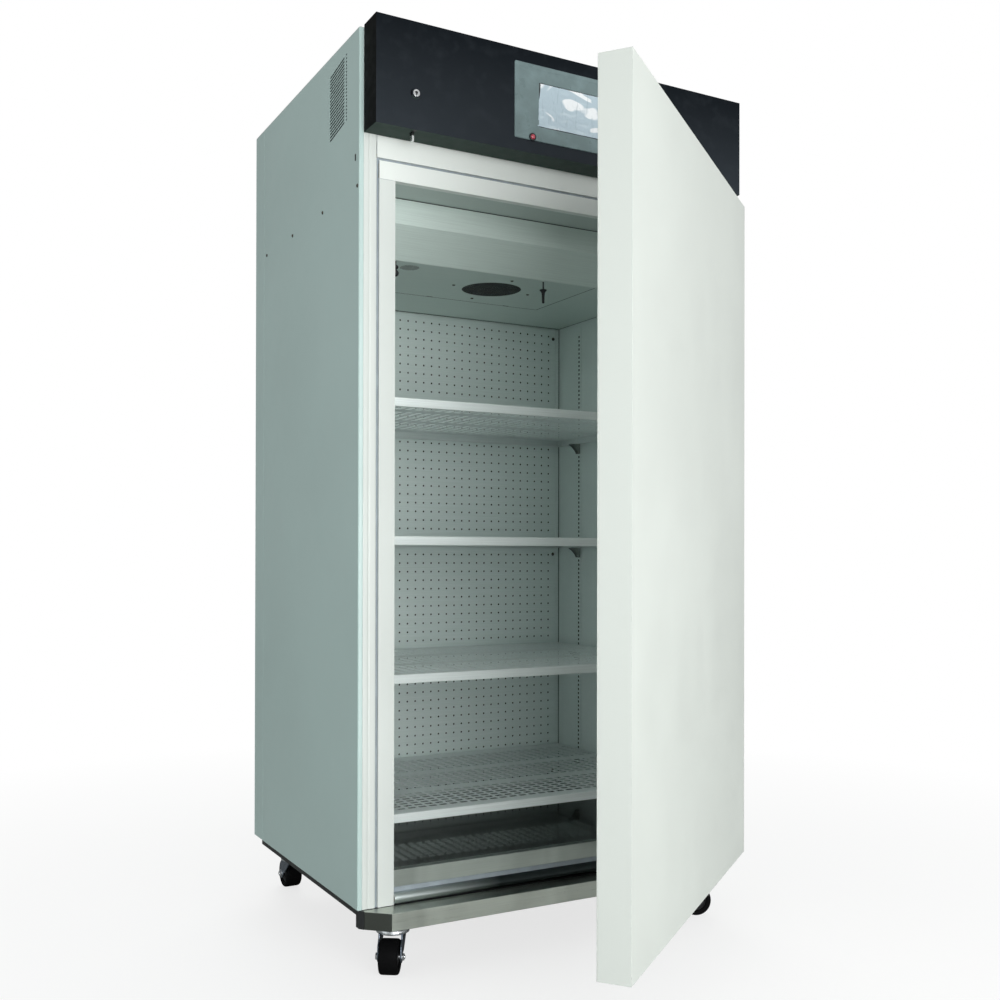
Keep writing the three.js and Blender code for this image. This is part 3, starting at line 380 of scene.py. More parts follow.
class Shape:
    """Collects solids and sheets in metres, then becomes one piece."""

    def __init__(self):
        self.verts = []
        self.faces = []

    def add(self, verts, faces, at=None):
        base = len(self.verts)
        self.verts += [at @ Vector(v) if at else Vector(v) for v in verts]
        self.faces += [[base + i for i in face] for face in faces]

    def box(self, low, high, at=None):
        (x0, y0, z0), (x1, y1, z1) = low, high
        corners = [(x, y, z) for x in (x0, x1) for y in (y0, y1) for z in (z0, z1)]
        sides = [(0, 1, 3, 2), (4, 6, 7, 5), (0, 4, 5, 1), (2, 3, 7, 6), (0, 2, 6, 4), (1, 5, 7, 3)]
        self.add(corners, sides, at)

    def prism(self, outline, low, high, at=None):
        """Outline in (x, y), raised from low to high along z."""
        count = len(outline)
        verts = [(x, y, low) for x, y in outline] + [(x, y, high) for x, y in outline]
        faces = [list(range(count))[::-1], list(range(count, 2 * count))]
        faces += [[i, (i + 1) % count, count + (i + 1) % count, count + i] for i in range(count)]
        self.add(verts, faces, at)

    def lathe(self, profile, at=None, steps=40, closed=False):
        """Profile of (radius, z) turned about z; closed joins its last point to its first."""
        verts = []
        faces = []
        rings = []
        for radius, z in profile:
            if radius < 1e-7:
                rings.append([len(verts)])
                verts.append((0, 0, z))
                continue
            rings.append(list(range(len(verts), len(verts) + steps)))
            for k in range(steps):
                angle = 2 * math.pi * k / steps
                verts.append((radius * math.cos(angle), radius * math.sin(angle), z))
        pairs = list(zip(rings, rings[1:])) + ([(rings[-1], rings[0])] if closed else [])
        for a, b in pairs:
            for k in range(steps):
                m = (k + 1) % steps
                face = [a[k % len(a)], a[m % len(a)], b[m % len(b)], b[k % len(b)]]
                face = list(dict.fromkeys(face))
                if len(face) > 2:
                    faces.append(face)
        self.add(verts, faces, at)

    def perforated(self, xs, ys, place, corner=0.0, keep=None):
        """A sheet over ruled lines. A cell between an odd line and the next, both ways, is a hole."""
        index = {}
        verts = []
        faces = []

        def point(a, b):
            key = (round(a, 6), round(b, 6))
            if key not in index:
                index[key] = len(verts)
                verts.append(place(a, b, 0))
            return index[key]

        def is_open(i, j):
            inside = 0 <= i < len(xs) - 1 and 0 <= j < len(ys) - 1
            return inside and i % 2 == 1 and j % 2 == 1

        for i in range(len(xs) - 1):
            for j in range(len(ys) - 1):
                x0, x1, y0, y1 = xs[i], xs[i + 1], ys[j], ys[j + 1]
                if keep and not keep((x0 + x1) / 2, (y0 + y1) / 2):
                    continue
                if is_open(i, j):
                    spots = ((x0, y0, 1, 1), (x1, y0, -1, 1), (x1, y1, -1, -1), (x0, y1, 1, -1))
                    for cx, cy, sx, sy in spots if corner else ():
                        faces.append([point(cx, cy), point(cx + sx * corner, cy),
                                      point(cx, cy + sy * corner)][::sx * sy])
                    continue
                ring = [(x0, y0)]
                if corner and is_open(i, j - 1):
                    ring += [(x0 + corner, y0), (x1 - corner, y0)]
                ring.append((x1, y0))
                if corner and is_open(i + 1, j):
                    ring += [(x1, y0 + corner), (x1, y1 - corner)]
                ring.append((x1, y1))
                if corner and is_open(i, j + 1):
                    ring += [(x1 - corner, y1), (x0 + corner, y1)]
                ring.append((x0, y1))
                if corner and is_open(i - 1, j):
                    ring += [(x0, y1 - corner), (x0, y0 + corner)]
                faces.append([point(a, b) for a, b in ring])
        self.add(verts, faces)

    def rim(self, xs, ys, profile, place):
        """A folded edge all round a perforated sheet; profile is (outwards, depth) pairs."""
        loop = [(x, ys[0], 0, -1) for x in xs[1:-1]]
        loop += [(xs[-1], ys[0], 1, -1)] + [(xs[-1], y, 1, 0) for y in ys[1:-1]]
        loop += [(xs[-1], ys[-1], 1, 1)] + [(x, ys[-1], 0, 1) for x in reversed(xs[1:-1])]
        loop += [(xs[0], ys[-1], -1, 1)] + [(xs[0], y, -1, 0) for y in reversed(ys[1:-1])]
        loop += [(xs[0], ys[0], -1, -1)]
        count = len(loop)
        verts = [place(a + u * out, b + v * out, depth)
                 for out, depth in [(0, 0), *profile] for a, b, u, v in loop]
        self.add(verts, quads(len(profile) + 1, count, wrap_columns=True))

    def piece(self, name, body, material, replaces=(), thick=0.0, bevel=0.0, segments=2,
              smooth=30, sub=0):
        mesh = bpy.data.meshes.new(name)
        mesh.from_pydata([tuple(v) for v in self.verts], [], self.faces)
        work = bmesh.new()
        work.from_mesh(mesh)
        bmesh.ops.remove_doubles(work, verts=work.verts, dist=2e-6)
        bmesh.ops.recalc_face_normals(work, faces=work.faces)
        for face in work.faces:
            face.smooth = smooth > 0
        for edge in work.edges:
            edge.smooth = edge.is_manifold and edge.calc_face_angle() < math.radians(smooth)
        work.to_mesh(mesh)
        work.free()
        obj = bpy.data.objects.new(name, mesh)
        bpy.context.scene.collection.objects.link(obj)
        mesh.materials.append(material)
        if thick:
            solid = obj.modifiers.new("thickness", "SOLIDIFY")
            solid.thickness = thick
            solid.offset = 0
        if bevel:
            add_bevel(obj, bevel, segments)
        if sub:
            obj.modifiers.new("smooth", "SUBSURF").render_levels = sub
        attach(obj, body)
        if replaces:
            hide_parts(*replaces)
        return obj


def add_bevel(obj, width, segments):
    edge = obj.modifiers.new("edges", "BEVEL")
    edge.width = width
    edge.segments = segments
    edge.limit_method = "ANGLE"
    edge.angle_limit = math.radians(32)
    edge.use_clamp_overlap = True


def dress(names, material, bevel=0.0006, segments=2):
    """Gives CAD nodes their finish and softly rounded edges."""
    for name in names:
        obj = NODES[name]
        slots = obj.data.materials
        if not slots:
            slots.append(material)
        for k in range(len(slots)):
            slots[k] = material
        if bevel:
            obj.modifiers.new("joined", "WELD").merge_threshold = 1e-5
            flat = obj.modifiers.new("flat", "DECIMATE")
            flat.decimate_type = "DISSOLVE"
            flat.angle_limit = math.radians(0.5)
            add_bevel(obj, bevel, segments)


def ruled(low, high, centres, width):
    lines = [low]
    for centre in centres:
        lines += [centre - width / 2, centre + width / 2]
    return lines + [high]


def spaced(first, last, count):
    return [first + (last - first) * i / (count - 1) for i in range(count)]


def facing(point, normal, spin=0.0):
    """Places local z along a normal."""
    turn = Vector(normal).to_track_quat("Z", "Y").to_matrix().to_4x4()
    return Matrix.Translation(Vector(point)) @ turn @ Matrix.Rotation(spin, 4, "Z")


def screws(name, spots, radius, material=ZINC):
    """Low domed screw heads with a recessed socket, one piece for each group."""
    made = Shape()
    profile = ((0, 0.12), (0.34, 0.12), (0.36, 0.5), (0.6, 0.44), (0.85, 0.26), (1, 0.02),
               (1, -0.1), (0, -0.1))
    head = [(radius * out, radius * up) for out, up in profile]
    for point, normal in spots:
        made.lathe(head, facing(point, normal), 14)
    made.piece(name, "cabinet", material, smooth=40)


# ---------------------------------------------------------------- finishes of the CAD pieces

dress(["right_side_panel", "rear_cover"], SHADED_WHITE, 0.0012)
dress(["top_panel", "left_inner_stile", "right_inner_stile"], WHITE, 0.0005)
dress(["header_panel", "inner_header"], PAINTED_LIGHT_WHITE, 0.0005)
dress(["left_front_stile", "right_front_stile"], WHITE, 0.0008, 3)
dress(["door_outer_skin"], DOOR_WHITE, 0.0024, 3)
dress(["door_inner_panel"], DOOR_WHITE, 0.0011, 3)
dress(["thermal_break"], GASKET, 0.0004)
dress(["base_pan", "compressor"], BLACK_PAINT, 0.0012)
dress(["bumper"], BUMPER_STEEL, 0.0011, 3)
dress(["sill_band"], SILL_STEEL, 0.0004)
dress(["cabinet_insulation", "door_insulation"], FOAM, 0)
dress(["inner_liner"], LINER, 0.0)
dress(["plenum_cover"], SHADED_LINER, 0.003, 4)
dress(["fan_panel"], SHADED_LINER, 0.0004)
dress(["liner_floor"], DARK_STEEL, 0)
dress(["fan_motor", "machine_deck", "lock_plug"], ZINC, 0.0003)
dress(["latch_bolt"], BOLT_STEEL, 0.0004)
dress(["evaporator_coil", "condenser_coil"], ALUMINIUM, 0.0006)
dress(["heater_element"], COPPER, 0)
dress(["circulation_fan", "condenser_fan"], BLACK_PLASTIC, 0.0006)
dress(["console_cover"], CONSOLE, 0.0011, 3)
dress(["top_hinge", "bottom_hinge"], ZINC, 0.0007)

# ---------------------------------------------------------------- side vent

VENT_BOTTOM, VENT_TOP = FLOOR + 1.934, FLOOR + 2.090
VENT_FRONT = -0.313
VENT_COLUMNS = ((-0.308, 0.008), (-0.2485, 0.095))
VENT_ROWS = 20
VENT_SLANT = -0.155


def left_side_panel():
    """Side sheet with columns of fine slanted vent slots, and its front fold."""
    low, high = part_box("left_side_panel")
    rise = (VENT_TOP - VENT_BOTTOM) / VENT_ROWS
    ys = [low.y + 0.002]
    for centre, width in VENT_COLUMNS:
        ys += [centre - width / 2, centre + width / 2]
    ys.append(high.y - 0.001)
    zs = ruled(low.z, high.z, [VENT_BOTTOM + (j + 0.5) * rise for j in range(VENT_ROWS)],
               rise * 0.62)

    def place(y, z, depth):
        shift = (y - VENT_FRONT) * VENT_SLANT
        if not (low.z + 1e-6 < z < high.z - 1e-6) or not (ys[0] + 1e-6 < y < ys[-1] - 1e-6):
            shift = 0.0
        return (low.x + 0.0006 + depth, y, z + shift)

    made = Shape()
    made.perforated(ys, zs, place)
    made.piece("side_panel_vented", "cabinet", SHADED_WHITE, ("left_side_panel",),
               thick=0.0012, smooth=0)
    # a black sheet behind the slots, painted shade for the dark inside the vent
    slot_shade = Shape()
    slot_shade.box((low.x + 0.005, VENT_FRONT - 0.012, VENT_BOTTOM - 0.03),
               (low.x + 0.0056, -0.19, VENT_TOP + 0.012))
    slot_shade.piece("vent_slot_shade", "cabinet", BLACK_PAINT, smooth=0)
    fold = Shape()
    outline = [(low.x, low.y + 0.0028), (low.x + 0.0008, low.y + 0.0008), (low.x + 0.0028, low.y),
               (high.x, low.y), (high.x, low.y + 0.0012), (low.x + 0.003, low.y + 0.0012),
               (low.x + 0.0014, low.y + 0.003)]
    fold.prism(outline, low.z, high.z)
    fold.piece("side_panel_fold", "cabinet", SHADED_WHITE, smooth=50)


left_side_panel()

left_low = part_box("left_side_panel")[0]
right_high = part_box("right_side_panel")[1]
SCREW_Z = FLOOR + 1.766
SIDE_SPOTS = [(-0.378, SCREW_Z + 0.001), (-0.154, SCREW_Z), (0.069, SCREW_Z), (0.287, SCREW_Z)]
screws("side_screws_left", [((left_low.x, y, z), (-1, 0, 0)) for y, z in SIDE_SPOTS], 0.0044,
       BRONZE)
screws("side_screws_right", [((right_high.x, y, z), (1, 0, 0)) for y, z in SIDE_SPOTS], 0.0044,
       BRONZE)


def strap_slots():
    """A short dark plug in a slot near the top of each side's front edge."""
    made = Shape()
    for x, outward in ((left_low.x, -1), (right_high.x, 1)):
        at = facing((x, -0.366, FLOOR + 1.8335), (outward, 0, 0))
        outline = [(0.0030 * math.cos(a), 0.0050 * (1 if math.sin(a) > 0 else -1)
                    + 0.0030 * math.sin(a)) for a in [math.pi * (k + 0.5) / 8 for k in range(16)]]
        made.prism(outline, -0.0002, 0.0006, at)
    made.piece("side_slot_plugs", "cabinet", BLACK_PLASTIC, smooth=0)


strap_slots()

# ---------------------------------------------------------------- rear of the cabinet

rear_low, rear_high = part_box("rear_cover")


def rear_louvres():
    """Two banks of pressed louvres over the machine compartment and a framed service panel."""
    made = Shape()
    gaps = Shape()
    width, spans, steps = 0.13, 10, 6
    curve = [(0.0075 * math.sin(a), 0.009 * math.cos(a))
             for a in [math.pi / 2 * k / steps for k in range(steps + 1)]]
    for column in (-0.3, 0.3):
        for row in range(9):
            z = rear_high.z - 0.05 - row * 0.018
            verts = []
            for s in range(spans + 1):
                t = s / spans
                round_off = min(1.0, math.sin(math.pi * t) * 3.2) ** 0.5 if 0 < t < 1 else 0.0
                verts += [(column + (t - 0.5) * width, rear_high.y + out * round_off * 0.9 + 0.0002,
                           z + up - 0.0045) for out, up in curve]
            made.add(verts, quads(spans + 1, steps + 1))
            # black strips under the hoods, painted shade in the louvre openings
            gaps.box((column - 0.056, rear_high.y - 0.0004, z - 0.0062),
                     (column + 0.056, rear_high.y + 0.0003, z - 0.0040))
    made.piece("rear_louvres", "cabinet", SHADED_WHITE, thick=0.0008, smooth=40)
    gaps.piece("rear_louvre_shade_strips", "cabinet", BLACK_PAINT, smooth=0)

    plate = Shape()
    plate.box((-0.15, rear_high.y + 0.0002, rear_high.z - 0.215),
              (0.15, rear_high.y + 0.0016, rear_high.z - 0.035))
    plate.piece("rear_service_panel", "cabinet", SHADED_WHITE, bevel=0.0006)
    socket = Shape()
    socket.box((-0.03, rear_high.y + 0.0015, rear_high.z - 0.18),
               (0.03, rear_high.y + 0.006, rear_high.z - 0.125))
    socket.lathe([(0, 0), (0.014, 0), (0.014, 0.008), (0.0115, 0.01), (0.0115, 0.018),
                  (0.006, 0.021), (0, 0.021)],
                 facing((0.085, rear_high.y + 0.0012, rear_high.z - 0.15), (0, 1, 0)), 24)
    socket.piece("rear_power_fittings", "cabinet", BLACK_PLASTIC, bevel=0.0012)


rear_louvres()

REAR_SPOTS = [((x, rear_high.y, z), (0, 1, 0)) for x in (-0.505, 0.505)
              for z in spaced(rear_low.z + 0.04, rear_high.z - 0.03, 7)]
REAR_SPOTS += [((x, rear_high.y + 0.0016, z), (0, 1, 0)) for x in (-0.14, 0.14)
               for z in (rear_high.z - 0.205, rear_high.z - 0.045)]
screws("rear_screws", REAR_SPOTS, 0.004)

roof_low, roof_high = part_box("top_panel")
screws("roof_screws", [((x, y, roof_high.z), (0, 0, 1)) for x in (-0.5, 0, 0.5)
                       for y in (roof_low.y + 0.03, 0.0, roof_high.y - 0.02)], 0.004)

# ---------------------------------------------------------------- chamber

duct_low, duct_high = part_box("rear_duct_panel")
HOLE_PITCH = 0.0254
SEAM_X = 0.418


def duct_panel():
    """Rear air duct: a sheet on a square hole grid, with returns that run back to the liner."""
    xs_centres = [i * HOLE_PITCH + HOLE_PITCH / 2 for i in range(-16, 16)]
    low_z, high_z = duct_low.z + 0.002, duct_high.z - 0.002
    rows = int((high_z - low_z - 0.03) / HOLE_PITCH)
    start = low_z + ((high_z - low_z) - rows * HOLE_PITCH) / 2
    hole = 0.0052
    xs = ruled(-SEAM_X, SEAM_X, xs_centres, hole)
    zs = ruled(low_z, high_z, [start + i * HOLE_PITCH for i in range(rows + 1)], hole)

    def place(a, b, depth):
        return (a, duct_low.y + 0.0007 + depth, b)

    made = Shape()
    made.perforated(xs, zs, place, hole * 0.29)
    made.rim(xs, zs, [(0.0007, 0.0003), (0.001, 0.001), (0.001, 0.03)], place)
    made.piece("duct_panel_perforated", "cabinet", LINER, ("rear_duct_panel",),
               thick=0.0010, smooth=40)

    edge = Shape()
    for side in (-1, 1):
        inner, outer = side * (SEAM_X + 0.0022), side * (duct_high.x - 0.0004)
        edge.box((min(inner, outer), duct_low.y + 0.0012, low_z),
                 (max(inner, outer), duct_low.y + 0.0026, high_z))
    edge.piece("duct_edge_strips", "cabinet", LINER, bevel=0.0004)

    # black sheets behind the holes and at the corners, painted shadow
    shadow_sheet = Shape()
    shadow_sheet.box((-SEAM_X + 0.003, duct_low.y + 0.0055, low_z + 0.004),
                (SEAM_X - 0.003, duct_low.y + 0.0061, high_z - 0.004))
    for side in (-1, 1):
        corner, gap = side * duct_high.x, side * (duct_high.x - 0.0016)
        shadow_sheet.box((min(corner, gap), duct_low.y, low_z), (max(corner, gap), duct_low.y + 0.0009, high_z))
    shadow_sheet.piece("duct_shadow_gaps", "cabinet", BLACK_PAINT, smooth=0)


duct_panel()

screws("duct_screws", [((side * (SEAM_X - 0.0075), duct_low.y, z), (0, -1, 0)) for side in (-1, 1)
                       for z in (FLOOR + 1.627, FLOOR + 0.95, FLOOR + 0.27)], 0.0052,
       BRONZE)

SLOT_PITCH_X = 0.0272
SLOT_PITCH_Y = 0.0235
SLOT_W = 0.0195
SLOT_D = 0.0150
GROUP_CENTRES = (-0.240, -0.038, 0.165)


def shelf(node):
    """Slotted shelf: three bands of slots, a folded lip with a return hem on all four sides."""
    low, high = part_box(node)
    bend = 0.0022
    xs = ruled(low.x + bend, high.x - bend, [SLOT_PITCH_X * i for i in range(-15, 16)], SLOT_W)
    rows = [centre + SLOT_PITCH_Y * k for centre in GROUP_CENTRES for k in range(-3, 4)]
    ys = ruled(low.y + bend, high.y - bend, rows, SLOT_D)
    top = high.z - 0.0006

    def place(a, b, depth):
        return (a, b, top - depth)

    made = Shape()
    made.perforated(xs, ys, place, 0.0022)
    height = high.z - low.z
    made.rim(xs, ys, [(bend * 0.5, 0.0002), (bend * 0.9, bend * 0.5), (bend - 0.0006, bend),
                      (bend - 0.0006, height - 0.0022), (bend * 0.45, height - 0.0009),
                      (-0.001, height - 0.0006), (-0.011, height - 0.0006)], place)
    made.piece(node + "_slotted", "cabinet", SHELF, (node,), thick=0.0007, smooth=50)


for number in range(1, 5):
    shelf("shelf_%d" % number)

STRIP_PITCH = 0.0127


def support_strip(node, shelf_tops):
    """A wall strip on a 12.7 mm slot pitch, with a pressed clip hooked in under every shelf."""
    low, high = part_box(node)
    side = 1 if low.x > 0 else -1
    wall = high.x if side > 0 else low.x
    centre = (low.y + high.y) / 2
    face = wall - side * 0.0013
    rows = int((high.z - low.z - 0.02) / STRIP_PITCH)
    ys = ruled(centre - 0.011, centre + 0.011, [centre], 0.0076)
    zs = ruled(low.z, high.z, [low.z + 0.012 + k * STRIP_PITCH for k in range(rows)], 0.0072)
    strip = Shape()
    strip.perforated(ys, zs, lambda a, b, depth: (face, a, b), 0.0012)
    strip.piece(node + "_slots", "cabinet", LINER, (node,), thick=0.0008, smooth=0)
    # a black strip behind the slots, painted shade
    back = Shape()
    back.box((min(wall, wall - side * 0.0006), centre - 0.0048, low.z + 0.004),
             (max(wall, wall - side * 0.0006), centre + 0.0048, high.z - 0.004))
    back.piece(node + "_slot_shadow", "cabinet", BLACK_PAINT, smooth=0)

    clips = Shape()
    reach = abs(low.x - high.x) - 0.0013
    for top in shelf_tops:
        seat = top - 0.0214
        at = Matrix.Translation((face - side * 0.0005, centre, seat)) @ Matrix.Scale(-side, 4, (1, 0, 0))
        gusset = [(0, 0), (reach, 0), (reach, -0.0032), (reach * 0.72, -0.0075),
                  (reach * 0.3, -0.0215), (0.0062, -0.029), (0, -0.029)]
        for offset in (-0.0079, 0.0063):
            turn = at @ Matrix.Translation((0, offset, 0)) @ Matrix.Rotation(math.pi / 2, 4, "X")
            clips.prism(gusset, -0.0016, 0, turn)
        clips.box((0, -0.0079, -0.0016), (reach, 0.0079, 0), at)
        clips.box((0.0, -0.0079, -0.029), (0.0016, 0.0079, 0), at)
        clips.box((-0.0016, -0.0022, -0.007), (0.0004, 0.0022, -0.002), at)
    clips.piece(node + "_clips", "cabinet", CLIP_ZINC_SHADED, bevel=0.0004, smooth=0)


SHELF_TOPS = [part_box("shelf_%d" % number)[1].z for number in range(1, 5)]
for node in ("pilaster_left_front", "pilaster_left_rear", "pilaster_right_front",
             "pilaster_right_rear"):
    support_strip(node, SHELF_TOPS)

# ---------------------------------------------------------------- fan, port and probes

grille_low, grille_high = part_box("fan_grille")
panel_low, panel_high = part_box("fan_panel")
FAN = (grille_low + grille_high) / 2
FAN_R = 0.0795


def fan_guard():
    """Fine woven mesh across the round opening, on a flat ring."""
    pitch = 0.0054
    half = int(FAN_R / pitch) + 1
    wires = [pitch * k for k in range(-half, half + 1)]
    lines = ruled(-(half + 1) * pitch, (half + 1) * pitch, wires, pitch * 0.66)
    level = panel_low.z + 0.0026

    def inside(a, b):
        return math.hypot(a, b) < FAN_R + pitch * 0.4

    made = Shape()
    made.perforated(lines, lines, lambda a, b, depth: (FAN.x + a, FAN.y + b, level), keep=inside)
    made.piece("fan_guard_mesh", "cabinet", BLACK_PAINT, ("fan_grille",),
               thick=0.0009, smooth=0)
    ring = Shape()
    ring.lathe([(FAN_R - 0.0005, 0), (FAN_R + 0.010, 0), (FAN_R + 0.010, 0.0012),
                (FAN_R - 0.0005, 0.0012)],
               Matrix.Translation((FAN.x, FAN.y, panel_high.z + 0.0003)), 72, True)
    ring.piece("fan_guard_ring", "cabinet", BLACK_PAINT, smooth=40)


fan_guard()

UNDER = panel_low.z
screws("fan_panel_screws", [((FAN.x + u, FAN.y + v, UNDER), (0, 0, -1)) for u, v in
                            ((0.113, 0), (-0.113, 0), (0, 0.113), (0, -0.113))], 0.0046,
       BRONZE)


def fan_blades(node, body, axis, hub, tip, blades, depth):
    """Swept, twisted fan blades on a domed hub."""
    low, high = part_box(node)
    centre = (low + high) / 2
    at = facing(centre, axis)
    made = Shape()
    half = depth / 2
    made.lathe([(0, half), (hub * 0.8, half), (hub, half - 0.003), (hub, -half), (hub - 0.003, -half),
                (hub - 0.003, half - 0.005), (0, half - 0.005)], at, 32)
    made.piece(body + "_hub", body, BLACK_PLASTIC, smooth=40)
    vanes = Shape()
    spans, chords = 8, 6
    for blade in range(blades):
        verts = []
        for s in range(spans + 1):
            radius = hub - 0.001 + (tip - hub) * s / spans
            sweep = 0.28 * (s / spans) ** 1.5
            width = 0.42 + 0.1 * (s / spans)
            for c in range(chords + 1):
                t = c / chords - 0.5
                angle = 2 * math.pi * blade / blades + sweep + t * width * 1.9
                verts.append((radius * math.cos(angle), radius * math.sin(angle),
                              -t * depth * 0.86 + 0.002 * math.cos(math.pi * t)))
        vanes.add(verts, quads(spans + 1, chords + 1), at)
    vanes.piece(body + "_blades", body, BLACK_PLASTIC, (node,), thick=0.0014,
                smooth=60)


fan_blades("circulation_fan", "circulation_rotor", (0, 0, 1), 0.021, 0.0695, 6, 0.026)
fan_blades("condenser_fan", "condenser_rotor", (1, 0, 0), 0.021, 0.0735, 5, 0.022)


def port_plate():
    """A small oval perforated cap beside the fan."""
    centre = Vector((-0.297, -0.165, UNDER - 0.0006))
    pitch = 0.0044
    half = 6
    wires = [pitch * k for k in range(-half, half + 1)]
    lines = ruled(-(half + 1) * pitch, (half + 1) * pitch, wires, pitch * 0.6)
    made = Shape()
    made.perforated(lines, lines, lambda a, b, depth: (centre.x + a, centre.y + b, centre.z),
                    keep=lambda a, b: math.hypot(a, b) < 0.0235)
    made.piece("sample_port_mesh", "cabinet", PORT_STEEL, thick=0.0008, smooth=0)


port_plate()


def plenum_seams():
    """Dark joints: plenum against ceiling, duct and wall, and round the fan panel."""
    plenum_low, plenum_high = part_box("plenum_cover")
    line = 0.0011
    skin = 0.0002
    made = Shape()
    made.box((plenum_low.x, plenum_low.y - 0.0004, plenum_high.z - 0.0016),
             (plenum_high.x, plenum_low.y, plenum_high.z))
    made.box((plenum_low.x, plenum_high.y - 0.0026, UNDER - skin),
             (plenum_high.x, plenum_high.y, UNDER))
    made.box((plenum_high.x - 0.0024, panel_low.y, UNDER - skin),
             (plenum_high.x, plenum_high.y - 0.0028, UNDER))
    made.box((plenum_low.x, panel_high.y - line, UNDER - skin), (panel_high.x, panel_high.y + line, UNDER))
    made.box((panel_high.x - line, panel_low.y, UNDER - skin),
             (panel_high.x + line, panel_high.y - line - 0.0002, UNDER))
    for x in (-0.36, -0.12, 0.12):
        made.box((x - 0.009, panel_high.y - 0.005, UNDER - skin), (x + 0.009, panel_high.y - line
                                                                   - 0.0002, UNDER))
    made.piece("plenum_seams", "cabinet", BLACK_PAINT, smooth=0)


plenum_seams()


def probe(node, beads):
    """A hanging sensor: thin stem, knurled collar and a tapered guard tip."""
    low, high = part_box(node)
    x, y = (low.x + high.x) / 2, (low.y + high.y) / 2
    length = high.z - low.z
    made = Shape()
    if beads:
        profile = [(0, 0), (0.0018, 0), (0.0018, -length * 0.22), (0.005, -length * 0.26),
                   (0.0075, -length * 0.36), (0.0055, -length * 0.5), (0.0026, -length * 0.55),
                   (0.0055, -length * 0.6), (0.0085, -length * 0.74), (0.007, -length * 0.92),
                   (0.0035, -length), (0, -length)]
    else:
        collar = length * 0.36
        profile = [(0, 0), (0.0020, 0), (0.0020, -collar), (0.0092, -collar - 0.0004),
                   (0.0094, -collar - 0.0026), (0.0062, -collar - 0.0052), (0.0046, -collar - 0.009),
                   (0.0038, -collar - 0.016), (0.0034, -length + 0.002), (0.0022, -length),
                   (0, -length)]
    made.lathe(profile, Matrix.Translation((x, y, high.z)), 28)
    made.piece(node + "_shape", "cabinet", BLACK_PLASTIC, (node,), smooth=45)


probe("temperature_probe", False)
probe("humidity_probe", True)

# ---------------------------------------------------------------- sill

trim_low, trim_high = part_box("sill_trim")


def sill_roll():
    """Half-round rolled sill with a lip, drawn as one bent sheet."""
    radius = 0.0137
    centre_y, centre_z = trim_low.y + 0.014, trim_low.z + 0.014
    path = [(centre_y, trim_high.z), (centre_y, centre_z + radius + 0.0004)]
    for k in range(25):
        angle = math.pi / 2 + math.pi * k / 24
        path.append((centre_y + radius * math.cos(angle), centre_z + radius * math.sin(angle)))
    made = Shape()
    made.add([(x, y, z) for x in (trim_low.x, trim_high.x) for y, z in path], quads(2, len(path)))
    made.piece("sill_roll", "cabinet", ROLL_STEEL, ("sill_trim",), thick=0.0006,
               smooth=60)
    lip = Shape()
    lip.box((trim_low.x, centre_y - 0.0016, trim_high.z - 0.006),
            (trim_high.x, centre_y - 0.0004, trim_high.z + 0.0006))
    lip.piece("sill_light_strip", "cabinet", SILL_STEEL, bevel=0.0004)
    band_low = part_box("sill_band")[0]
    cover = Shape()
    cover.box((trim_low.x, band_low.y + 0.0018, trim_high.z - 0.0050),
              (trim_high.x, band_low.y + 0.0026, band_low.z + 0.006))
    cover.piece("sill_groove_strip", "cabinet", GASKET, smooth=0)


sill_roll()

# ---------------------------------------------------------------- display and lock

bezel_low, bezel_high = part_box("display_bezel")
screen_low, screen_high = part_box("display_screen")


def rounded(low_a, low_b, high_a, high_b, radius, steps=5):
    points = []
    corners = ((high_a - radius, high_b - radius, 0), (low_a + radius, high_b - radius, 1),
               (low_a + radius, low_b + radius, 2), (high_a - radius, low_b + radius, 3))
    for a, b, quarter in corners:
        for k in range(steps + 1):
            angle = math.pi / 2 * (quarter + k / steps)
            points.append((a + radius * math.cos(angle), b + radius * math.sin(angle)))
    return points


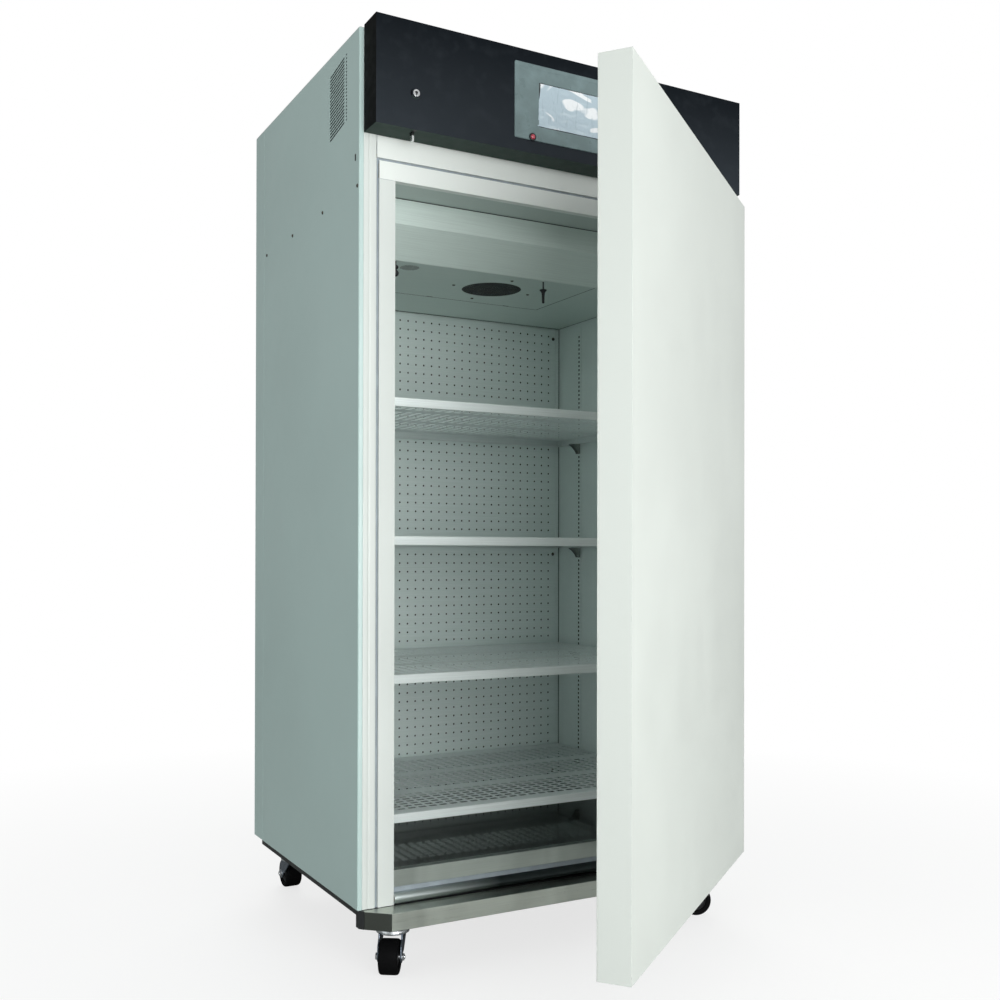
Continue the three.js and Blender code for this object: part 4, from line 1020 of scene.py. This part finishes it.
def display():
    """Grey frame with a raised rim, a sunk display, and a loose protective film over it."""
    front = bezel_low.y
    back = bezel_high.y
    frame_piece = Shape()
    outer = rounded(bezel_low.x, bezel_low.z, bezel_high.x, bezel_high.z, 0.004)
    inner = rounded(screen_low.x - 0.0012, screen_low.z - 0.0012, screen_high.x + 0.0012,
                    screen_high.z + 0.0012, 0.002)
    count = len(outer)

    def inset(points, amount):
        cx = (bezel_low.x + bezel_high.x) / 2
        cz = (bezel_low.z + bezel_high.z) / 2
        return [(x - math.copysign(amount, x - cx), z - math.copysign(amount, z - cz))
                for x, z in points]

    loops = [(inner, back), (inner, front + 0.001), (inset(inner, -0.001), front + 0.0004),
             (inset(outer, 0.0112), front + 0.0004), (inset(outer, 0.0106), front),
             (inset(outer, 0.001), front), (outer, front + 0.001), (outer, back)]
    verts = [(x, y, z) for points, y in loops for x, z in points]
    frame_piece.add(verts, quads(len(loops), count, True, True))
    frame_piece.piece("display_frame", "cabinet", BEZEL, ("display_bezel",),
                      smooth=30)

    glass = Shape()
    glass.box((screen_low.x, front + 0.0012, screen_low.z), (screen_high.x, screen_high.y,
                                                             screen_high.z))
    glass.piece("display_glass", "cabinet", DARK_STEEL, ("display_screen",),
                bevel=0.0005)

    film = Shape()
    columns, rows = 90, 52
    verts = []
    for i in range(columns + 1):
        for j in range(rows + 1):
            u, v = i / columns, j / rows
            left = screen_low.x + 0.007 * v - 0.004 + 0.0008 * math.sin(9 * v)
            right = screen_high.x - 0.004
            x = left + (right - left) * u
            z = screen_low.z + 0.0015 + (screen_high.z - screen_low.z - 0.003) * v
            spot = Vector((x * 26, 0.0, z * 40))
            fold = noise.noise(spot + Vector((3.1, 0, 7.7))) + 0.4 * noise.noise(spot * 2.3)
            ridge = 1 - abs(noise.noise(spot * 1.4 + Vector((9.3, 0, 1.2)))) * 2.4
            y = front + 0.0006 - 0.0009 * max(0.0, ridge) - 0.0007 * fold
            verts.append((x, min(y, front + 0.0008), z))
    film.add(verts, quads(columns + 1, rows + 1))
    film.piece("display_film", "cabinet", FILM, thick=0.0002, smooth=60)


display()

lamp_low, lamp_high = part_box("status_lamp")


def lamp():
    """Red indicator under the display, in a black ring."""
    centre = (lamp_low + lamp_high) / 2
    at = facing((centre.x, bezel_low.y, centre.z), (0, -1, 0))
    ring = Shape()
    ring.lathe([(0.0062, 0.0005), (0.0092, 0.0005), (0.0094, 0.002), (0.0088, 0.0032),
                (0.0068, 0.0036), (0.0062, 0.003)], at, 36, True)
    ring.piece("status_lamp_ring", "cabinet", BLACK_PLASTIC, smooth=40)
    dome = Shape()
    profile = [(0, 0.0002), (0.0061, 0.0002), (0.0061, 0.0026)]
    profile += [(0.0060 * math.cos(a), 0.0026 + 0.0032 * math.sin(a))
                for a in [math.pi / 2 * k / 7 for k in range(1, 7)]] + [(0, 0.0058)]
    dome.lathe(profile, at, 30)
    dome.piece("status_lamp_lens", "cabinet", LENS, ("status_lamp",), smooth=50)


lamp()

plug_low, plug_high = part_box("lock_plug")
console_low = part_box("console_cover")[0]


def lock_collar():
    """Polished collar round the key plug."""
    centre = (plug_low + plug_high) / 2
    at = facing((centre.x, console_low.y + 0.004, centre.z), (0, -1, 0))
    made = Shape()
    made.lathe([(0.0083, 0.0002), (0.0083, 0.0004), (0.0105, 0.0006), (0.0119, -0.0004),
                (0.0126, -0.0026), (0.0132, -0.0038), (0.0118, -0.0038), (0.0116, 0.0001)], at, 40,
               True)
    made.piece("lock_collar", "cabinet", CHROME, smooth=35)


lock_collar()
NODES["lock_plug"].data.materials[0] = CHROME


def keyway():
    """The key slot, drawn as a thin black sheet whose black is painted shade; it turns with the plug."""
    centre = (plug_low + plug_high) / 2
    at = facing((centre.x, plug_low.y, centre.z), (0, -1, 0))
    made = Shape()
    made.prism([(-0.0042, 0.0034), (0.0042, 0.0034), (0.0009, -0.0046), (-0.0009, -0.0046)], -0.0001,
               0.0003, at)
    made.piece("lock_keyway", "lock", BLACK_PLASTIC, smooth=0)


keyway()


def latch_slot():
    """Thin black sheet under the console in front of the latch bolt, its black painted shade for the slot
    there.
    """
    low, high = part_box("latch_bolt")
    made = Shape()
    made.box((low.x - 0.001, console_low.y + 0.003, console_low.z - 0.0003),
             (high.x + 0.001, low.y - 0.0006, console_low.z + 0.0001))
    made.piece("latch_slot", "cabinet", BLACK_PLASTIC, smooth=0)


latch_slot()

# ---------------------------------------------------------------- door

gasket_low, gasket_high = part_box("door_gasket")
HINGE = Vector(JOINTS["door_hinge"]["pos_m"])
DOOR_OPEN = math.radians(-JOINTS["door_hinge"]["range_deg"][0])
DOOR_TURN = (Matrix.Translation(HINGE) @ Matrix.Rotation(DOOR_OPEN, 4, "Z")
             @ Matrix.Translation(-HINGE))


def door_gasket():
    """Magnetic gasket: a rounded bellows all round, mitred at the corners."""
    half_out = 0.466
    bottom, top = gasket_low.z, gasket_high.z
    plane, sealing = -0.3977, -0.3895  # y of the door's inner face and of the seal, door closed
    depth = sealing - plane
    profile = [(0.0, 0.0), (0.0022, 0.0016), (0.0008, 0.0036), (0.0016, depth - 0.0012),
               (0.0040, depth), (0.0160, depth), (0.0184, depth - 0.0012), (0.0192, 0.0036),
               (0.0178, 0.0016), (0.0200, 0.0)]
    made = Shape()
    verts = []
    for inward, out in profile:
        x = half_out - inward
        verts += [(-x, plane + out, bottom + inward), (x, plane + out, bottom + inward),
                  (x, plane + out, top - inward), (-x, plane + out, top - inward)]
    made.add(verts, quads(len(profile), 4, True, True), DOOR_TURN)
    made.piece("door_gasket_bellows", "door", GASKET, ("door_gasket",),
               bevel=0.0005, smooth=40)


door_gasket()
dress(["door_gasket"], GASKET, 0)


def frame_seams():
    """Hairline joints where the header, inner header and stiles meet."""
    line, skin = 0.0006, 0.00012
    header_low, header_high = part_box("header_panel")
    inner_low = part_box("inner_header")[0]
    made = Shape()
    for side, node in ((-1, "left_inner_stile"), (1, "right_inner_stile")):
        stile_low, stile_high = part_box(node)
        x = header_low.x if side < 0 else header_high.x
        made.box((x - line / 2, header_low.y - skin, header_low.z),
                 (x + line / 2, header_low.y, header_low.z + 0.05))
        made.box((stile_low.x, inner_low.y - skin, inner_low.z - line),
                 (stile_high.x, inner_low.y, inner_low.z))
    made.piece("frame_seams", "cabinet", GASKET, smooth=0)


frame_seams()

# ---------------------------------------------------------------- casters

AXLE_HALF = 0.0275


def arc(centre_a, centre_b, radius, start, stop, steps=10):
    return [(centre_a + radius * math.cos(math.radians(start + (stop - start) * k / steps)),
             centre_b + radius * math.sin(math.radians(start + (stop - start) * k / steps)))
            for k in range(steps + 1)]


def hexagon(radius):
    return [(radius * math.cos(math.pi / 3 * k), radius * math.sin(math.pi / 3 * k))
            for k in range(6)]


def caster(corner):
    """Swivel caster drawn about its own axis, with the wheel trailing along local +y."""
    swivel = Vector(JOINTS["caster_%s_swivel" % corner]["pos_m"])
    axle = Vector(JOINTS["wheel_%s_spin" % corner]["pos_m"])
    away = Vector((axle.x - swivel.x, axle.y - swivel.y))
    trail = away.length
    heading = math.atan2(away.x, away.y)
    at = (Matrix.Translation((swivel.x, swivel.y, FLOOR))
          @ Matrix.Rotation(-heading, 4, "Z"))
    hub_z = axle.z - FLOOR

    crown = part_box("caster_fork_" + corner)[1].z - FLOOR
    seat = crown + 0.017

    race = Shape()
    race.lathe([(0.0305, crown + 0.0012), (0.0345, crown + 0.0012), (0.0358, crown + 0.0036),
                (0.0358, crown + 0.0095), (0.0338, crown + 0.0125), (0.0305, crown + 0.0138)], at,
               48, True)
    race.piece("caster_race_" + corner, "cabinet", ZINC, smooth=35)
    plate = Shape()
    spot = Matrix.Translation((swivel.x, swivel.y, FLOOR))
    reach_y = 0.0435 if swivel.y < 0 else 0.0245
    plate.box((-0.0515, -0.0435, seat - 0.0032), (0.0515, reach_y, seat - 0.0004), spot)
    for u in (-0.043, 0.043):
        for v in (-0.033, reach_y - 0.0095):
            plate.prism(hexagon(0.0062), seat - 0.0080, seat - 0.0030,
                        spot @ Matrix.Translation((u, v, 0)))
    plate.piece("caster_plate_" + corner, "cabinet", ZINC, bevel=0.0006)

    body = "swivel_" + corner
    fork = Shape()
    fork.lathe([(0, crown - 0.0004), (0.022, crown - 0.0002), (0.0320, crown - 0.0002),
                (0.0374, crown - 0.0020), (0.0386, crown - 0.0058), (0.0382, crown - 0.0096),
                (0.0352, crown - 0.0112), (0.0332, crown - 0.0094), (0, crown - 0.0094)], at, 48)
    fork.lathe([(0, crown - 0.0138), (0.0088, crown - 0.0138), (0.0088, crown - 0.0092),
                (0, crown - 0.0092)], at, 6)
    fork.piece("caster_crown_" + corner, body, ZINC, smooth=35)
    legs = Shape()
    outline = [(-0.0310, crown - 0.0075), (-0.0235, crown - 0.0200), (-0.006, 0.0605)]
    outline += [(0.0130, 0.0455)] + arc(trail, hub_z, 0.0132, 165, 375, 14)
    outline += [(trail + 0.0100, 0.0640), (0.0350, crown - 0.0175), (0.0335, crown - 0.0075)]
    turn = Matrix(((0, 0, 1, 0), (1, 0, 0, 0), (0, 1, 0, 0), (0, 0, 0, 1)))
    for inner, outer in ((-0.0278, -0.0242), (0.0242, 0.0278)):
        legs.prism(outline, inner, outer, at @ turn)
    legs.piece("caster_legs_" + corner, body, LEG_STEEL, ("caster_fork_" + corner,),
               bevel=0.0011, segments=3, smooth=35)
    bolt = Shape()
    to_axle = at @ Matrix.Translation((0, trail, hub_z)) @ Matrix.Rotation(math.pi / 2, 4, "Y")
    bolt.lathe([(0, -AXLE_HALF - 0.0070), (0.0040, -AXLE_HALF - 0.0070), (0.0058, -AXLE_HALF),
                (0.0058, AXLE_HALF), (0.0040, AXLE_HALF + 0.0060), (0, AXLE_HALF + 0.0060)],
               to_axle, 24)
    for side in (-1, 1):
        inner = side * (AXLE_HALF + 0.0005)
        outer = side * (AXLE_HALF + 0.0052)
        bolt.prism(hexagon(0.0082), min(inner, outer), max(inner, outer), to_axle)
        washer = side * (AXLE_HALF + 0.0012)
        bolt.lathe([(0.005, min(side * AXLE_HALF, washer)), (0.0104, min(side * AXLE_HALF, washer)),
                    (0.0104, max(side * AXLE_HALF, washer)), (0.005, max(side * AXLE_HALF, washer))],
                   to_axle, 28, True)
    bolt.piece("caster_axle_" + corner, body, ZINC, bevel=0.0004)

    wheel = Shape()
    half = 0.0222
    tread = hub_z
    side_wall = [(tread - 0.0142, half - 0.003), (tread - 0.0112, half - 0.0008),
                 (tread - 0.0062, half), (tread - 0.0029, half - 0.0009),
                 (tread - 0.0009, half - 0.0030), (tread - 0.0001, half - 0.0064), (tread, 0.006)]
    wheel.lathe([(r, -a) for r, a in side_wall] + side_wall[::-1], to_axle, 72, True)
    wheel.piece("caster_tyre_" + corner, "wheel_" + corner, TYRE,
                ("caster_wheel_" + corner,), smooth=50)
    core = Shape()
    flank = [(0.0062, 0.0203), (0.0112, 0.0203), (0.0124, 0.0185), (0.0132, 0.0135),
             (0.0220, 0.0125), (0.0244, 0.0165), (0.0257, 0.0165)]
    core.lathe([(r, -a) for r, a in flank] + flank[::-1], to_axle, 48, True)
    for k in range(5):
        spoke = to_axle @ Matrix.Rotation(2 * math.pi * k / 5, 4, "Z")
        core.box((0.0122, -0.0016, -0.0150), (0.0246, 0.0016, 0.0150), spoke)
    core.piece("caster_hub_" + corner, "wheel_" + corner, BLACK_PLASTIC,
               bevel=0.0005, smooth=40)


for corner in ("fl", "fr", "rl", "rr"):
    caster(corner)

# ---------------------------------------------------------------- stage, light and camera


def ground():
    """Pale floor: darker for bounced light, and fading to white for the camera with distance."""
    mesh = bpy.data.meshes.new("floor")
    size = 14.0
    z = FLOOR - 0.0005
    fade_start, fade_end = 0.5, 2.8
    mesh.from_pydata([(-size, -size, z), (size, -size, z), (size, size, z), (-size, size, z)], [],
                     [[0, 1, 2, 3]])
    made = Finish("pale_floor", (0.9, 0.91, 0.905), 0.55)
    path = made.node("ShaderNodeLightPath")
    pale = made.mix(made.spread(made.noise(1.5, 3), 0.3, 0.7), (0.88, 0.89, 0.885), (0.92, 0.925, 0.92))
    made.put("Base Color", made.mix(path.outputs["Is Camera Ray"], (0.3, 0.31, 0.3), pale))
    distance = made.node("ShaderNodeVectorMath", operation="LENGTH")
    made.tree.links.new(made.coords, distance.inputs[0])
    far = made.spread(distance.outputs["Value"], fade_start, fade_end, 0.74, 1.0)
    seen = made.node("ShaderNodeMath", operation="MULTIPLY")
    made.feed(seen.inputs[0], far)
    made.feed(seen.inputs[1], path.outputs["Is Camera Ray"])
    white = made.node("ShaderNodeEmission")
    blend = made.node("ShaderNodeMixShader")
    made.feed(blend.inputs["Fac"], seen.outputs["Value"])
    made.feed(blend.inputs[1], made.shader.outputs["BSDF"])
    made.feed(blend.inputs[2], white.outputs["Emission"])
    made.feed(made.tree.nodes["Material Output"].inputs["Surface"], blend.outputs["Shader"])
    mesh.materials.append(made.material)
    obj = bpy.data.objects.new("floor", mesh)
    bpy.context.scene.collection.objects.link(obj)


ground()


def softbox(name, place, target, width, height, power, color=(1, 1, 1)):
    """A soft rectangular light that the camera doesn't see."""
    light = bpy.data.lights.new(name, "AREA")
    light.shape = "RECTANGLE"
    light.size = width
    light.size_y = height
    light.energy = power
    light.color = color
    obj = bpy.data.objects.new(name, light)
    obj.location = place
    obj.rotation_euler = (Vector(target) - Vector(place)).to_track_quat("-Z", "Y").to_euler()
    bpy.context.scene.collection.objects.link(obj)
    obj.visible_camera = False


CENTRE = (0, 0, 0.85)  # what the softboxes point at
softbox("front", (-0.7, -4.2, 0.95), (0, 0, 0.9), 2.4, 2.4, 122, (0.985, 1.0, 0.995))
softbox("key", (1.8, -4.6, 1.3), CENTRE, 2.6, 2.6, 40, (1.0, 1.0, 0.985))
softbox("side_fill", (-4.4, -1.2, 1.4), CENTRE, 2.4, 2.8, 36, (0.94, 1.0, 1.0))
softbox("rim", (1.5, 3.6, 3.0), CENTRE, 3.0, 1.6, 60)

world = bpy.data.worlds.new("studio")
bpy.context.scene.world = world
world.use_nodes = True
tree = world.node_tree
ambient = tree.nodes["Background"]
ambient.inputs["Color"].default_value = (0.97, 1.0, 0.99, 1)
direction = tree.nodes.new("ShaderNodeVectorMath")
direction.operation = "DOT_PRODUCT"
direction.inputs[1].default_value = (0.15, -0.95, 0.28)
tree.links.new(tree.nodes.new("ShaderNodeTexCoord").outputs["Generated"], direction.inputs[0])
falloff = tree.nodes.new("ShaderNodeMapRange")
tree.links.new(direction.outputs["Value"], falloff.inputs["Value"])
for socket, value in (("From Min", -1), ("From Max", 1), ("To Min", 0.24), ("To Max", 0.66)):
    falloff.inputs[socket].default_value = value
tree.links.new(falloff.outputs["Result"], ambient.inputs["Strength"])
backdrop = tree.nodes.new("ShaderNodeBackground")
backdrop.inputs["Color"].default_value = (1, 1, 1, 1)
backdrop.inputs["Strength"].default_value = 1.0
path = tree.nodes.new("ShaderNodeLightPath")
choose = tree.nodes.new("ShaderNodeMixShader")
tree.links.new(path.outputs["Is Camera Ray"], choose.inputs["Fac"])
tree.links.new(ambient.outputs["Background"], choose.inputs[1])
tree.links.new(backdrop.outputs["Background"], choose.inputs[2])
tree.links.new(choose.outputs["Shader"], tree.nodes["World Output"].inputs["Surface"])

camera = bpy.data.cameras.new("camera")
camera.sensor_width = 36
camera.lens = 40.56
camera.shift_y = 0.04985
camera.clip_end = 60
view = bpy.data.objects.new("camera", camera)
HEADING, TILT, ROLL = (math.radians(angle) for angle in (-28.89, 90.26, 0.11))
view.location = (-1.4491, -2.7206, FLOOR + 0.9469)
view.rotation_euler = (Matrix.Rotation(HEADING, 4, "Z") @ Matrix.Rotation(TILT, 4, "X")
                       @ Matrix.Rotation(ROLL, 4, "Z")).to_euler()
bpy.context.scene.collection.objects.link(view)
bpy.context.scene.camera = view
bpy.context.scene.view_settings.view_transform = "Standard"
